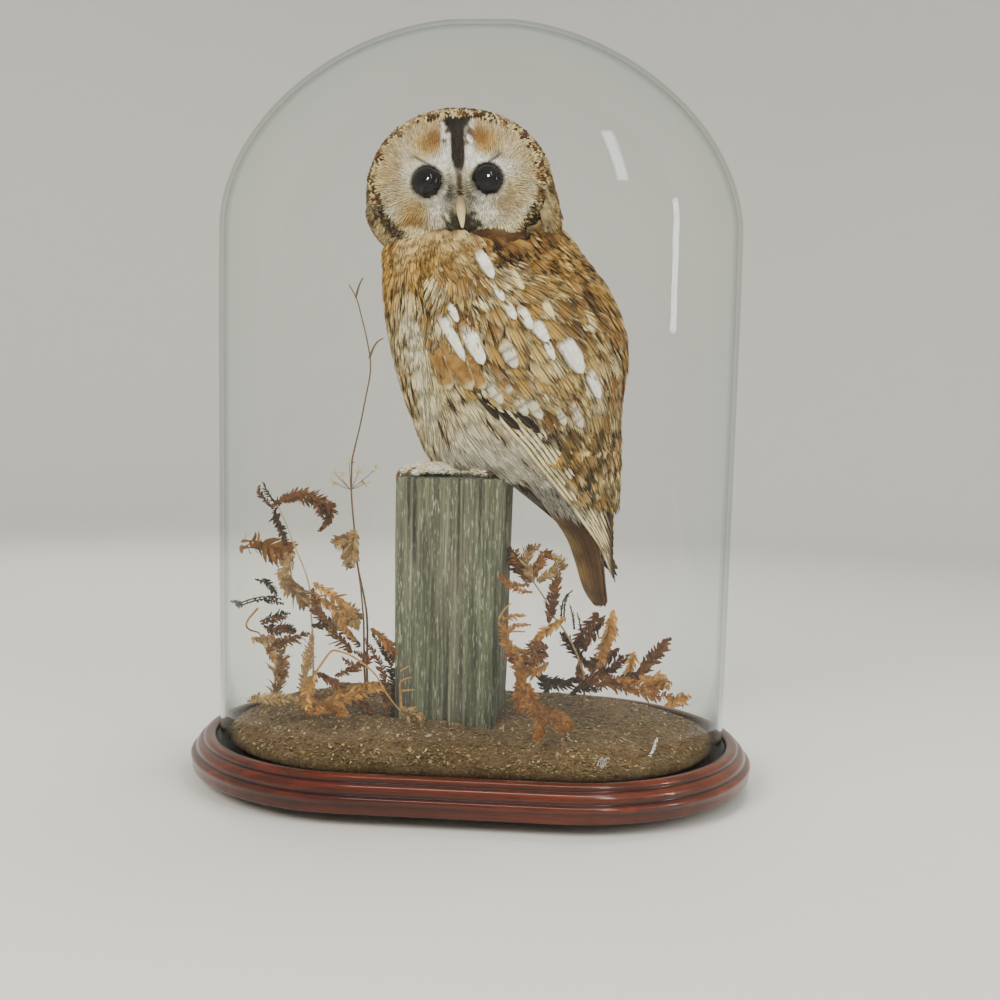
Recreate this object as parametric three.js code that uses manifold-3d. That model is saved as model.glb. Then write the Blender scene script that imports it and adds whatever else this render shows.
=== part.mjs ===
// A mounted tawny owl on a weathered post with dried bracken, on an oval mahogany base
// under a glass dome. Millimetres, +Z up, front at -Y, feet of the base on Z = 0.
import * as THREE from 'three';
import { mergeVertices } from 'three/addons/utils/BufferGeometryUtils.js';
import Module from 'manifold-3d';

const wasm = await Module();
wasm.setup();
const group = new THREE.Group();

// ---- driving dimensions ----
const gap = 0.3;                  // air between neighbouring pieces
const spine = 70;                 // half length of the straight run of the oval
const footHeight = 9;
const footRadius = 11;
const footAt = { x: 105, y: 92 };
const rabbetFloor = 27;
const glassRadius = 114.5;        // oval end radius of the glass at its foot, outside
const glassBelly = { radius: 117, z: 330 };  // the blown glass swells a little up to here
const glassWall = 3;
const glassShoulder = 395;        // the glass is upright below this height
const glassCrown = 149;           // height of the domed top over the shoulder
const glassRound = 1.85;          // 2 is an ellipse, less is more pointed
const soilRadius = 108;
const soilEdge = 33;              // height of the mound near its rim
const postSize = { x: 77, y: 72 };
const postAt = { x: -14, y: 0 };
const postTop = 221;
const postYaw = -0.05;
const stand = { x: -12, y: 2 };   // the point the bird's body sections are set back from
const ahead = { x: -0.866, y: -0.5 };   // the way the breast faces
const leftward = { x: 0.5, y: -0.866 }; // the way the left wing faces
const headAt = { x: -13.5, y: -8, z: 419 };
const headSize = { x: 67, front: 51, back: 62, top: 62, under: 50 };
const headTurn = 0.1;             // the face looks this far to the right of the front
const eyeRadius = 11;
const facePivot = { x: -1.9, z: 4.55 };      // between the eyes, from the middle of the head
const faceTilt = 0.068;           // the face leans, its left eye lower than its right
const eyeAt = { x: 20.45, y: -42 };          // either side of the pivot
const billWide = 3.4;

// ---- solids from rings of points ----
const point = (x, y, z) => new THREE.Vector3(x, y, z);

// closed skin over a stack of equal rings, with a flat fan at each end
function stack(rings) {
  const count = rings[0].length;
  const points = rings.flat();
  const faces = [];
  const last = (rings.length - 1) * count;
  for (let k = 0; k + 1 < rings.length; k++) {
    for (let i = 0; i < count; i++) {
      const j = (i + 1) % count;
      const low = k * count;
      const high = low + count;
      faces.push(low + i, low + j, high + j, low + i, high + j, high + i);
    }
  }
  for (const start of [0, last]) {
    const middle = points.length;
    const centre = point(0, 0, 0);
    for (let i = 0; i < count; i++) centre.addScaledVector(points[start + i], 1 / count);
    points.push(centre);
    for (let i = 0; i < count; i++) {
      const j = (i + 1) % count;
      if (start === 0) faces.push(middle, j, i);
      else faces.push(middle, start + i, start + j);
    }
  }
  const shape = new THREE.BufferGeometry();
  const numbers = points.flatMap(p => [p.x, p.y, p.z]);
  shape.setAttribute('position', new THREE.Float32BufferAttribute(numbers, 3));
  shape.setIndex(faces);
  return shape;
}

function solid(shape) {
  let geometry = shape.clone();
  geometry.deleteAttribute('normal');
  geometry.deleteAttribute('uv');
  geometry = mergeVertices(geometry, 1e-4);
  const vertProperties = new Float32Array(geometry.attributes.position.array);
  const triVerts = new Uint32Array(geometry.index.array);
  const made = new wasm.Manifold(new wasm.Mesh({ numProp: 3, vertProperties, triVerts }));
  if (made.volume() > 0) return made;
  triVerts.reverse();
  return new wasm.Manifold(new wasm.Mesh({ numProp: 3, vertProperties, triVerts }));
}

function shapeOf(made) {
  const mesh = made.getMesh();
  const geometry = new THREE.BufferGeometry();
  geometry.setAttribute('position',
    new THREE.BufferAttribute(new Float32Array(mesh.vertProperties), 3));
  geometry.setIndex(new THREE.BufferAttribute(new Uint32Array(mesh.triVerts), 1));
  return geometry;
}

function without(made, ...others) {
  return others.reduce((rest, other) => rest.subtract(other), made);
}

function add(name, made, color, roughness, metalness = 0) {
  const material = new THREE.MeshStandardMaterial({ color, roughness, metalness });
  const mesh = new THREE.Mesh(shapeOf(made), material);
  mesh.name = name;
  group.add(mesh);
}

// ---- the base ----
// two half circles of one radius at the ends of a straight run
function oval(radius, z, half = spine, steps = 15) {
  const ring = [];
  for (const side of [1, -1]) {
    for (let i = 0; i <= steps; i++) {
      const turn = Math.PI * (i / steps - side / 2);
      ring.push(point(side * half + radius * Math.cos(turn), radius * Math.sin(turn), z));
    }
  }
  return ring;
}

// radius and height, from the underside out and up over the mouldings to the rabbet
const moulding = [
  [133, 9.2], [134.5, 10.2], [134.5, 16], [135.5, 18], [134, 20.4], [131.6, 21.2],
  [131, 23.6], [129.2, 26.4], [126.4, 27.8], [126.2, 29.4], [125, 31.6], [122, 32.4],
  [118.4, 32.2], [117.5, 31.2], [117.5, rabbetFloor], [glassRadius - 8, rabbetFloor]
];
add('base', solid(stack(moulding.map(([radius, z]) => oval(radius, z)))), '#6b2c1a', 0.28);

const bun = [[0, 0], [7, 0], [10, 1.6], [footRadius, 4.5], [9.6, 7.4], [8, footHeight - 0.1],
  [0, footHeight - 0.1]].map(([r, z]) => new THREE.Vector2(r, z));
const feet = [[-1, -1], [1, -1], [1, 1], [-1, 1]];
feet.forEach(([sx, sy], i) => {
  const turned = new THREE.LatheGeometry(bun, 12).rotateX(Math.PI / 2);
  turned.translate(sx * footAt.x, sy * footAt.y, 0);
  add(`foot_${i + 1}`, solid(turned), '#4a2013', 0.35);
});

// ---- the glass dome ----
function domeSkin(inset, from) {
  const wide = glassBelly.radius - inset;
  const rings = [oval(glassRadius - inset, from), oval(wide, glassBelly.z)];
  rings.push(oval(wide, glassShoulder));
  const steps = 10;
  for (let i = 1; i < steps; i++) {
    const climb = Math.sin(i / steps * Math.PI / 2);
    const shrink = (1 - climb ** glassRound) ** (1 / glassRound);
    const height = glassShoulder + (glassCrown - inset) * climb;
    rings.push(oval(wide * shrink, height, spine * shrink));
  }
  rings.push(oval(0.5, glassShoulder + glassCrown - inset, 0.5));
  return solid(stack(rings));
}
const glassFoot = rabbetFloor + gap;
const glass = domeSkin(0, glassFoot).subtract(domeSkin(glassWall, glassFoot - 5));
add('glass_dome', glass, '#dfe8e4', 0.04);

// ---- the post ----
function postSolid(grow) {
  const wide = postSize.x / 2 + grow;
  const deep = postSize.y / 2 + grow;
  const chamfer = 2.5;
  const corner = [[wide, -deep + chamfer], [wide, deep - chamfer], [wide - chamfer, deep],
    [chamfer - wide, deep], [-wide, deep - chamfer], [-wide, chamfer - deep],
    [chamfer - wide, -deep], [wide - chamfer, -deep]];
  const level = (z, size) => corner.map(([x, y]) =>
    point(x * size, y * size, z).applyAxisAngle(point(0, 0, 1), postYaw)
      .add(point(postAt.x, postAt.y, 0)));
  const foot = grow ? rabbetFloor - 5 : rabbetFloor + gap;
  return solid(stack([level(foot, 0.94), level(60, 0.95), level(postTop - 1.2, 1),
    level(postTop, 0.975)].map((ring, i) => i === 3 && grow
    ? ring.map(p => p.setZ(postTop + grow)) : ring)));
}
const post = postSolid(0);
add('post', post, '#6f7360', 0.95);

// ---- the bird's body ----
// height, set back, half depth, half width of the level sections of the trunk
const trunkLevels = [
  [222.5, 30, 38, 32], [227, 34, 50, 44], [238, 38, 62, 54], [254, 39, 69, 61],
  [278, 37, 77, 68], [300, 37, 84, 72], [316, 36, 87, 73], [332, 33, 88, 72],
  [356, 27, 85, 69], [370, 21, 79, 66], [384, 14, 73, 63]
];
// the same for the outside of the folded wings, down to their tips
const wingLevels = [
  [128, 127, 6, 9], [139, 124, 10, 14], [165, 107, 24, 26], [190, 88, 44, 36],
  [213, 72, 60, 48], [231, 60, 71, 58], [254, 50, 78, 68], [278, 43, 83, 76],
  [300, 40, 91, 80], [316, 38, 92, 80], [332, 34, 92, 79], [356, 27, 88, 74],
  [370, 21, 82, 70], [385, 13, 75, 65]
];
// the same for the rump, the undertail coverts and the tail
const tailLevels = [
  [117, 122, 2, 5], [120, 121.5, 3.2, 12], [131, 116.6, 4.5, 16], [150, 112, 5, 20],
  [168, 107, 7, 23], [182, 100, 11, 25], [201, 90, 17, 27], [214, 82, 23, 30],
  [226, 74, 28, 32], [240, 64, 27, 32]
];

function levelAt(levels, z) {
  const last = levels.length - 1;
  if (z <= levels[0][0]) return levels[0].slice(1);
  if (z >= levels[last][0]) return levels[last].slice(1);
  const k = levels.findIndex(level => level[0] > z);
  const part = (z - levels[k - 1][0]) / (levels[k][0] - levels[k - 1][0]);
  return [1, 2, 3].map(i => levels[k - 1][i] * (1 - part) + levels[k][i] * part);
}

// a point on a level section: turn 0 is the breast, 90 degrees the left side, 180 the back
function onBody(levels, z, turn, grow = 0) {
  const [setBack, deep, wide] = levelAt(levels, z);
  const along = (deep + grow) * Math.cos(turn) - setBack;
  const aside = (wide + grow) * Math.sin(turn);
  return point(stand.x + ahead.x * along + leftward.x * aside,
    stand.y + ahead.y * along + leftward.y * aside, z);
}

function levelRing(levels, z, grow, count = 22) {
  return Array.from({ length: count }, (_, i) =>
    onBody(levels, z, -i / count * Math.PI * 2, grow));
}

function bodyForm(levels, grow = 0) {
  const last = levels.length - 1;
  const rings = levels.map(([z], i) => {
    const lift = i === 0 ? -grow : i === last ? grow : 0;
    return levelRing(levels, z, grow).map(p => p.setZ(z + lift));
  });
  return solid(stack(rings));
}

// ---- head ----
const headMiddle = point(headAt.x, headAt.y, headAt.z);
const facing = (x, y, z) => point(x, y, z).applyAxisAngle(point(0, 0, 1), headTurn)
  .add(headMiddle);

// a point of the face: turned about the pivot by the tilt, then placed with the head
const onFace = (x, y, z) => facing(
  facePivot.x + x * Math.cos(faceTilt) - z * Math.sin(faceTilt), y,
  facePivot.z + x * Math.sin(faceTilt) + z * Math.cos(faceTilt));

// rounded head: half width x, deeper behind than in front, taller above than below;
// the face is pressed to a shallow dish round the line between the eyes
function headForm(grow = 0) {
  const rows = 13;
  const count = 24;
  const rings = [];
  for (let k = 1; k < rows; k++) {
    const tall = -Math.cos(k / rows * Math.PI);
    const round = Math.sin(k / rows * Math.PI) ** 0.92;
    const ring = [];
    for (let i = 0; i < count; i++) {
      const turn = -i / count * Math.PI * 2;
      const side = Math.cos(turn) * round;
      const face = Math.sin(turn) * round;
      const deep = face > 0 ? headSize.back : headSize.front;
      const dish = face < 0 ? 5 * Math.exp(-(side * side * 5 + tall * tall * 3)) : 0;
      const x = side * (headSize.x + grow);
      const y = face * (deep + grow) + dish;
      ring.push(facing(x, y, tall * ((tall > 0 ? headSize.top : headSize.under) + grow)));
    }
    rings.push(ring);
  }
  return solid(stack(rings));
}

const eyeSolid = (side, grow) => {
  const ball = new THREE.SphereGeometry(eyeRadius + grow, 14, 9);
  const middle = onFace(side * eyeAt.x, eyeAt.y, 0);
  return solid(ball.translate(middle.x, middle.y, middle.z));
};

// rings of an ellipse along a line; each stop is [x, y, z, half width, half depth];
// the width lies along the given direction, or else flat to the front
function rod(stops, across, count = 8) {
  const path = stops.map(([x, y, z]) => point(x, y, z));
  return solid(stack(stops.map((stop, k) => {
    const before = path[Math.max(k - 1, 0)];
    const after = path[Math.min(k + 1, path.length - 1)];
    const along = after.clone().sub(before).normalize();
    const wide = across ? across.clone() : along.clone().cross(point(0, 1, 0));
    wide.addScaledVector(along, -wide.dot(along)).normalize();
    const deep = along.clone().cross(wide);
    return Array.from({ length: count }, (_, i) => {
      const turn = i / count * Math.PI * 2;
      return path[k].clone().addScaledVector(wide, stop[3] * Math.cos(turn))
        .addScaledVector(deep, stop[4] * Math.sin(turn));
    });
  })));
}

function billSolid(grow) {
  const stops = [[1.2, -36, -14.5, 3.6, 5], [1.2, -47, -14.5, 3.6, 5],
    [1.4, -54, -18, billWide, 4.2], [1.6, -57.6, -24.5, 2.8, 3.3],
    [1.8, -58, -30, 1.7, 2.1], [1.9, -57, -33.6, 0.6, 0.7]];
  return rod(stops.map(([x, y, z, wide, deep]) => {
    const at = onFace(x, y, z);
    return [at.x, at.y, at.z, wide + grow, deep + grow];
  }), onFace(1, 0, 0).sub(onFace(0, 0, 0)), 10);
}

// ---- legs, toes and claws ----
const toeAhead = Math.PI;         // the toes point to the left of the front
const ankle = { left: [-10, -10], right: [-12, 21] };
const toeTurns = { left: [0.52, 0.08, -0.34], right: [0.36, -0.06, -0.5] };
const toeLengths = [32, 37, 31];
const backToe = { turn: Math.PI * 0.84, length: 18 };

// each toe lies along the top of the post
function toeStops(side, turn, length) {
  const [x, y] = ankle[side];
  const dx = Math.cos(toeAhead + turn);
  const dy = Math.sin(toeAhead + turn);
  return [[0, 4, 7.4], [0.35, 5.2, 6], [0.7, 4.6, 5.4], [1, 2.8, 4]].map(([part, low, wide]) =>
    [x + dx * length * part, y + dy * length * part, postTop + gap + 0.2 + low, wide, low]);
}

function legSolid(side, grow = 0) {
  const [x, y] = ankle[side];
  const fat = stops => stops.map(([px, py, pz, w, d]) => [px, py, pz, w + grow, d + grow]);
  const shank = rod(fat([[x, y, postTop + gap + 0.4 - grow, 8, 8], [x, y, postTop + 9, 11, 11],
    [x + 4, y + 3, postTop + 22, 13, 13], [x + 12, y + 7, postTop + 38 + grow, 14, 14]]),
  point(1, 0, 0), 9);
  const toes = toeTurns[side].map((turn, i) =>
    rod(fat(toeStops(side, turn, toeLengths[i])), point(0, 1, 0), 6));
  toes.push(rod(fat(toeStops(side, backToe.turn, backToe.length)), point(0, 1, 0), 6));
  return toes.reduce((leg, toe) => leg.add(toe), shank);
}

// out from the toe's end, down and thickness; the middle claw hooks over the post's edge
const clawOver = [[-4, 0.4, 1.9], [2.6, 1, 1.8], [6.6, -0.4, 1.4], [8.8, -5, 1.1], [8.6, -12, 0.4]];
const clawFlat = [[-4, 0.4, 1.9], [2.4, 1.6, 1.8], [6, 1, 1.4], [8.6, -0.6, 1], [10, -2.1, 0.4]];

function clawSolid(side, turn, length, curve, grow = 0) {
  const [x, y, z] = toeStops(side, turn, length)[3];
  const dx = Math.cos(toeAhead + turn);
  const dy = Math.sin(toeAhead + turn);
  return rod(curve.map(([out, up, thick]) =>
    [x + dx * out, y + dy * out, z + up, thick + grow, thick + grow]), point(-dy, dx, 0), 5);
}

function clawsOf(side, grow) {
  const front = toeTurns[side].map((turn, i) =>
    clawSolid(side, turn, toeLengths[i], i === 1 ? clawOver : clawFlat, grow));
  return [...front, clawSolid(side, backToe.turn, backToe.length, clawFlat, grow)];
}

// ---- wings ----
// from the shoulder to the tip: [front edge turn, height, rear edge turn, height, thickness]
const wingStops = [
  [44, 366, 78, 368, 4], [36, 350, 100, 354, 8], [31, 326, 116, 338, 10],
  [33, 306, 124, 320, 10.5], [42, 289, 130, 300, 10], [50, 280, 134, 284, 9.5],
  [57, 265, 136, 267, 9], [66, 247, 138, 248, 8.5], [72, 230, 139, 230, 8],
  [77, 213, 141, 212, 7], [84, 192, 142, 191, 6], [92, 170, 142, 168, 5],
  [97, 152, 138, 148, 3.6], [104, 138, 130, 133, 2.4]
];

const farTipBack = 20;            // the far wing's tip lies this much further back

function wingSolid(side, grow = 0) {
  const lanes = 5;
  const rings = wingStops.map(([turn1, z1, turn2, z2, thick], k) => {
    const back = side < 0 ? farTipBack * (k / (wingStops.length - 1)) ** 3 : 0;
    const shift = point(-ahead.x * back, -ahead.y * back, 0);
    const outer = [];
    const inner = [];
    for (let i = 0; i <= lanes; i++) {
      const part = i / lanes;
      const turn = side * THREE.MathUtils.degToRad(turn1 + (turn2 - turn1) * part);
      const z = z1 + (z2 - z1) * part;
      const lean = 1 - 0.5 * (2 * part - 1) ** 4;
      outer.push(onBody(wingLevels, z, turn, grow).add(shift));
      inner.unshift(onBody(wingLevels, z, turn, -thick * lean - grow).add(shift));
    }
    return [...outer, ...inner];
  });
  return solid(stack(rings));
}

// ---- put the bird together, each piece cut clear of its neighbours ----
const postRoom = postSolid(gap);
const head = headForm();
const headRoom = headForm(gap);
const eyes = [1, -1].map(side => eyeSolid(side, 0));
const eyeRooms = [1, -1].map(side => eyeSolid(side, gap));
const trunkForm = bodyForm(trunkLevels);
const trunkRoom = bodyForm(trunkLevels, gap);
const tailForm = bodyForm(tailLevels);
const tailRoom = bodyForm(tailLevels, gap);
const neckLevels = [[384.6, 13.8, 72.5, 62.5], [392, 14, 68, 60], [402, 15, 62, 56],
  [412, 16, 54, 48]];
const legs = { left: legSolid('left'), right: legSolid('right') };
const legRooms = { left: legSolid('left', gap), right: legSolid('right', gap) };

add('head', without(head, ...eyeRooms, billSolid(gap)), '#a58a63', 0.85);
add('neck', without(bodyForm(neckLevels), headRoom, trunkRoom), '#8d6a42', 0.85);
const clawRooms = [...clawsOf('left', gap), ...clawsOf('right', gap)];
add('trunk', without(trunkForm, headRoom, legRooms.left, legRooms.right, ...clawRooms),
  '#9c7a52', 0.85);
add('tail', without(tailForm, trunkRoom, postRoom), '#9a6a3a', 0.8);
add('wing_left', without(wingSolid(1), trunkRoom, tailRoom, headRoom), '#8a5f36', 0.8);
const nearWingRoom = wingSolid(1, gap);
add('wing_right', without(wingSolid(-1), trunkRoom, tailRoom, headRoom, nearWingRoom),
  '#8a5f36', 0.8);
for (const side of ['left', 'right']) {
  add(`leg_${side}`, without(legs[side], ...clawsOf(side, gap)), '#cfc2a4', 0.9);
  clawsOf(side, 0).forEach((claw, i) => add(`claw_${side}_${i + 1}`, claw, '#4a2c18', 0.4));
}
add('eye_left', eyes[0], '#0b0706', 0.05);
add('eye_right', eyes[1], '#0b0706', 0.05);
add('bill', billSolid(0), '#c9b88c', 0.45);

// ---- the mound of soil ----
function moundHeight(x, y) {
  const edge = Math.max(0, 1 - Math.hypot(Math.max(Math.abs(x) - spine, 0), y) / soilRadius);
  const rise = 1 - (1 - Math.min(edge * 1.6, 1)) ** 2;
  const lumps = 1.6 * Math.sin(x * 0.045 + 1) * Math.cos(y * 0.06)
    + 1.1 * Math.sin(x * 0.11 + y * 0.09);
  return soilEdge + rise * (13 - x * 0.03 + y * 0.03 + lumps);
}

function moundSolid() {
  const rings = [oval(soilRadius - 2, rabbetFloor + gap), oval(soilRadius, soilEdge - 3)];
  for (const share of [0.985, 0.93, 0.82, 0.64, 0.42, 0.2, 0.03]) {
    rings.push(oval(soilRadius * share, 0, spine * (0.15 + 0.85 * share))
      .map(p => p.setZ(moundHeight(p.x, p.y))));
  }
  return solid(stack(rings));
}

// ---- dried bracken and a dried umbel stalk ----
// each stop along a frond: x, z and half width, flat to the front at one depth y
const frondThick = 0.7;
const fronds = {
  frond_pale: [10, [[-124, 40, 1.1], [-125, 93, 1.4], [-129, 131, 3], [-140, 165, 4],
    [-149, 190, 3], [-143, 203, 4], [-128, 205, 5], [-114, 196, 4], [-109, 185, 1.5]]],
  frond_dark: [34, [[-136, 38, 1.1], [-145, 88, 5], [-156, 138, 7], [-163, 181, 4],
    [-167, 203, 1.4]]],
  frond_fan: [-8, [[-122, 40, 1.1], [-124, 96, 1.4], [-117, 127, 3], [-105, 149, 9], [-96, 166, 3]]],
  frond_hang: [-26, [[-132, 38, 1.1], [-134, 75, 6], [-138, 105, 9], [-144, 135, 9], [-152, 160, 2]]],
  frond_arch: [-50, [[-116, 38, 1.1], [-114, 69, 1.3], [-106, 90, 3], [-92, 98, 6],
    [-74, 90, 4], [-58, 75, 1.4]]],
  frond_low: [-66, [[-105, 38, 1.1], [-98, 54, 5], [-84, 64, 6], [-66, 67, 1.6]]],
  umbel: [22, [[-81, 40, 1.2], [-82, 97, 1.1], [-89, 137, 1], [-94, 176, 1], [-96, 207, 1],
    [-92, 245, 0.8], [-89, 275, 0.8], [-83, 318, 0.8], [-92, 346, 0.7]]],
  frond_curl: [2, [[66, 38, 1.1], [65, 80, 1.3], [60, 118, 3], [49, 138, 10], [38, 152, 10],
    [29, 160, 2]]],
  frond_cluster: [-46, [[40, 38, 1.1], [33, 75, 7], [26, 99, 9], [24, 117, 7], [34, 128, 2]]],
  frond_red: [26, [[76, 38, 1.1], [76, 75, 3], [80, 98, 6], [88, 114, 5], [94, 124, 1.4]]],
  frond_tall: [8, [[88, 38, 1.1], [90, 75, 3], [94, 98, 6], [103, 124, 1.4]]],
  frond_far: [-6, [[112, 38, 1.1], [118, 66, 4], [128, 82, 5], [144, 107, 1.2]]],
  frond_spread: [-34, [[118, 36, 1.1], [124, 60, 6], [137, 68, 7], [155, 66, 2]]],
  frond_front: [-64, [[44, 36, 1.1], [46, 62, 4], [54, 70, 6], [66, 58, 5], [74, 50, 1.6]]]
};

function frondSolid([y, stops], grow) {
  return rod(stops.map(([x, z, wide]) => [x, y, z, wide + grow, frondThick + grow]), null, 6);
}

let mound = without(moundSolid(), postRoom);
for (const [name, frond] of Object.entries(fronds)) {
  add(name, frondSolid(frond, 0), name === 'umbel' ? '#6d5440' : '#9b6530', 0.9);
  mound = mound.subtract(frondSolid(frond, gap));
}
add('ground', mound, '#5a4632', 1);

export default group;
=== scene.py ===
# A mounted tawny owl on a post, with dried bracken, under an oval glass dome.
# Lengths are written in millimetres and turned to metres where a mesh is made.
import math
import bpy
import numpy as np
from mathutils import Matrix


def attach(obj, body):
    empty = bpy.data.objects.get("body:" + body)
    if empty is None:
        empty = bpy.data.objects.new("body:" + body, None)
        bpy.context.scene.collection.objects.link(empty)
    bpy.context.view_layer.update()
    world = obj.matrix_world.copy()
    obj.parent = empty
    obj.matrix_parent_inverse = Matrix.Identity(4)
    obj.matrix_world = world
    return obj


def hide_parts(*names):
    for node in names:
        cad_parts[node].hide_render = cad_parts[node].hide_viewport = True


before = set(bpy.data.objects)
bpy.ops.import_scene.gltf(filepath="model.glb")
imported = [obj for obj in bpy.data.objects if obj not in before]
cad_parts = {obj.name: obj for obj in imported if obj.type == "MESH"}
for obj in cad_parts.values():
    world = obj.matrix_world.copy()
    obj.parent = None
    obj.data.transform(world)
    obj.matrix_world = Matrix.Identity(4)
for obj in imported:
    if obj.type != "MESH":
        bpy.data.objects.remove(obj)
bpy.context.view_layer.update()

rng = np.random.default_rng(2067)
mm = 0.001

camera = {"azimuth": 4.53, "elevation": 4.3, "roll": 1.24, "distance": 879.4,
          "aim": (18.5, 0, 203.7), "focal": 1200 / 1000 * 36}


def lookAtOwl(view):
    # back is the line from the aim to the camera; right and up follow from it and the roll
    az, el, roll = (math.radians(view[k]) for k in ("azimuth", "elevation", "roll"))
    back = np.array([math.sin(az) * math.cos(el), -math.cos(az) * math.cos(el), math.sin(el)])
    right = np.array([math.cos(az), math.sin(az), 0.0])
    up = np.cross(back, right)
    tiltedRight = right * math.cos(roll) + up * math.sin(roll)
    tiltedUp = up * math.cos(roll) - right * math.sin(roll)
    place = (np.array(view["aim"]) + back * view["distance"]) * mm
    lens = bpy.data.cameras.new("camera")
    lens.lens = view["focal"]
    lens.sensor_width = 36
    lens.clip_start = 0.02
    eye = bpy.data.objects.new("camera", lens)
    turn = np.eye(4)
    turn[:3, 0], turn[:3, 1], turn[:3, 2], turn[:3, 3] = tiltedRight, tiltedUp, back, place
    eye.matrix_world = Matrix(turn.tolist())
    bpy.context.scene.collection.objects.link(eye)
    bpy.context.scene.camera = eye


lookAtOwl(camera)


def tone(code, gain=1.0):
    # a hex colour as linear red, green and blue
    c = np.array([int(code[i:i + 2], 16) / 255 for i in (1, 3, 5)])
    return np.where(c > 0.04045, ((c + 0.055) / 1.055) ** 2.4, c / 12.92) * gain


def unit(a):
    return a / np.maximum(np.linalg.norm(a, axis=-1, keepdims=True), 1e-9)


def smooth(low, high, x):
    # 0 below low, 1 above high, an S between
    t = np.clip((x - low) / (high - low), 0, 1)
    return t * t * (3 - 2 * t)


def mix(a, b, f):
    f = np.asarray(f)[..., None]
    return a * (1 - f) + b * f


def makePiece(name, points, faces, material, nodes=(), tint=None, patch=None,
              shiny=True, body="root"):
    # points in millimetres; faces is a list of arrays of corners; patch is a point's place
    # on the coat's unwrap
    points = np.asarray(points, dtype=np.float64).reshape(-1, 3) * mm
    faces = [np.asarray(f, dtype=np.int32) for f in faces if len(f)]
    mesh = bpy.data.meshes.new(name)
    corners = np.concatenate([f.ravel() for f in faces])
    sizes = np.concatenate([np.full(len(f), f.shape[1]) for f in faces])
    mesh.vertices.add(len(points))
    mesh.loops.add(len(corners))
    mesh.polygons.add(len(sizes))
    mesh.vertices.foreach_set("co", points.ravel().astype(np.float32))
    mesh.loops.foreach_set("vertex_index", corners)
    mesh.polygons.foreach_set("loop_start", np.concatenate([[0], np.cumsum(sizes)[:-1]]))
    mesh.polygons.foreach_set("use_smooth", np.full(len(sizes), shiny))
    mesh.update(calc_edges=True)
    if tint is not None:
        colour = np.concatenate([np.asarray(tint).reshape(-1, 3),
                                 np.ones((len(points), 1))], axis=1).astype(np.float32)
        layer = mesh.color_attributes.new(name="tint", type="FLOAT_COLOR", domain="POINT")
        layer.data.foreach_set("color", colour.ravel())
    if patch is not None:
        flat = np.asarray(patch, dtype=np.float32).reshape(-1, 2)
        layer = mesh.uv_layers.new(name="OFBake")
        layer.data.foreach_set("uv", flat[corners].ravel())
    mesh.materials.append(material)
    piece = bpy.data.objects.new(name, mesh)
    bpy.context.scene.collection.objects.link(piece)
    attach(piece, body)
    if nodes:
        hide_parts(*nodes)
    return piece


def gridFaces(rows, columns, aroundRows=False, aroundColumns=False, start=0):
    # quads over a grid of rows x columns points, wrapped where asked
    r = np.arange(rows if aroundRows else rows - 1)
    c = np.arange(columns if aroundColumns else columns - 1)
    r, c = (g.ravel() for g in np.meshgrid(r, c, indexing="ij"))
    r2, c2 = (r + 1) % rows, (c + 1) % columns
    return np.stack([r * columns + c, r * columns + c2, r2 * columns + c2,
                     r2 * columns + c], axis=1) + start


def outward(points, faces):
    # turns the faces over if the closed shape they make has a negative volume
    points = np.asarray(points).reshape(-1, 3)
    volume = 0.0
    for f in faces:
        for k in range(1, f.shape[1] - 1):
            a, b, c = points[f[:, 0]], points[f[:, k]], points[f[:, k + 1]]
            volume += np.einsum("ij,ij->", a, np.cross(b, c))
    return [f[:, ::-1] if volume < 0 else f for f in faces]


def closedRings(rings):
    # a stack of closed rings of points, with a fan of triangles at each end
    rings = np.asarray(rings, dtype=float)
    rows, columns = rings.shape[:2]
    ends = np.stack([rings[0].mean(0), rings[-1].mean(0)])
    points = np.concatenate([rings.reshape(-1, 3), ends])
    i = np.arange(columns)
    j = (i + 1) % columns
    last = (rows - 1) * columns
    count = rows * columns
    fans = np.concatenate([np.stack([np.full(columns, count), j, i], 1),
                           np.stack([np.full(columns, count + 1), last + i, last + j], 1)])
    return points, outward(points, [gridFaces(rows, columns, aroundColumns=True), fans])


def sweep(path, radius, sides=8, flat=1.0, across=None):
    # a round or oval section carried along a path; flat squeezes its thin way
    path = np.asarray(path, dtype=float)
    along = unit(np.gradient(path, axis=0))
    guide = np.array([0, 1.0, 0.001]) if across is None else np.asarray(across, dtype=float)
    wide = unit(np.cross(along, guide))
    thin = unit(np.cross(wide, along))
    turn = np.linspace(0, 2 * np.pi, sides, endpoint=False)
    radius = np.broadcast_to(np.asarray(radius, dtype=float), (len(path),))
    ring = (wide[:, None] * np.cos(turn)[None, :, None]
            + thin[:, None] * np.sin(turn)[None, :, None] * flat)
    return path[:, None] + ring * radius[:, None, None]


def joinShapes(shapes):
    # several (points, faces) as one
    points, faces, start = [], [], 0
    for p, fs in shapes:
        points.append(p)
        faces.extend(f + start for f in fs)
        start += len(p)
    return np.concatenate(points), faces


def newMaterial(name, rough=0.6, **sockets):
    # an empty Principled material; sockets are set by their names with _ for a space
    material = bpy.data.materials.new(name)
    material.use_nodes = True
    shader = material.node_tree.nodes["Principled BSDF"]
    shader.inputs["Roughness"].default_value = rough
    for key, value in sockets.items():
        shader.inputs[key.replace("_", " ")].default_value = value
    return material, material.node_tree, shader


def addNode(tree, kind, **settings):
    node = tree.nodes.new(kind)
    for key, value in settings.items():
        if key in node.inputs:
            node.inputs[key].default_value = value
        else:
            setattr(node, key, value)
    return node


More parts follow.
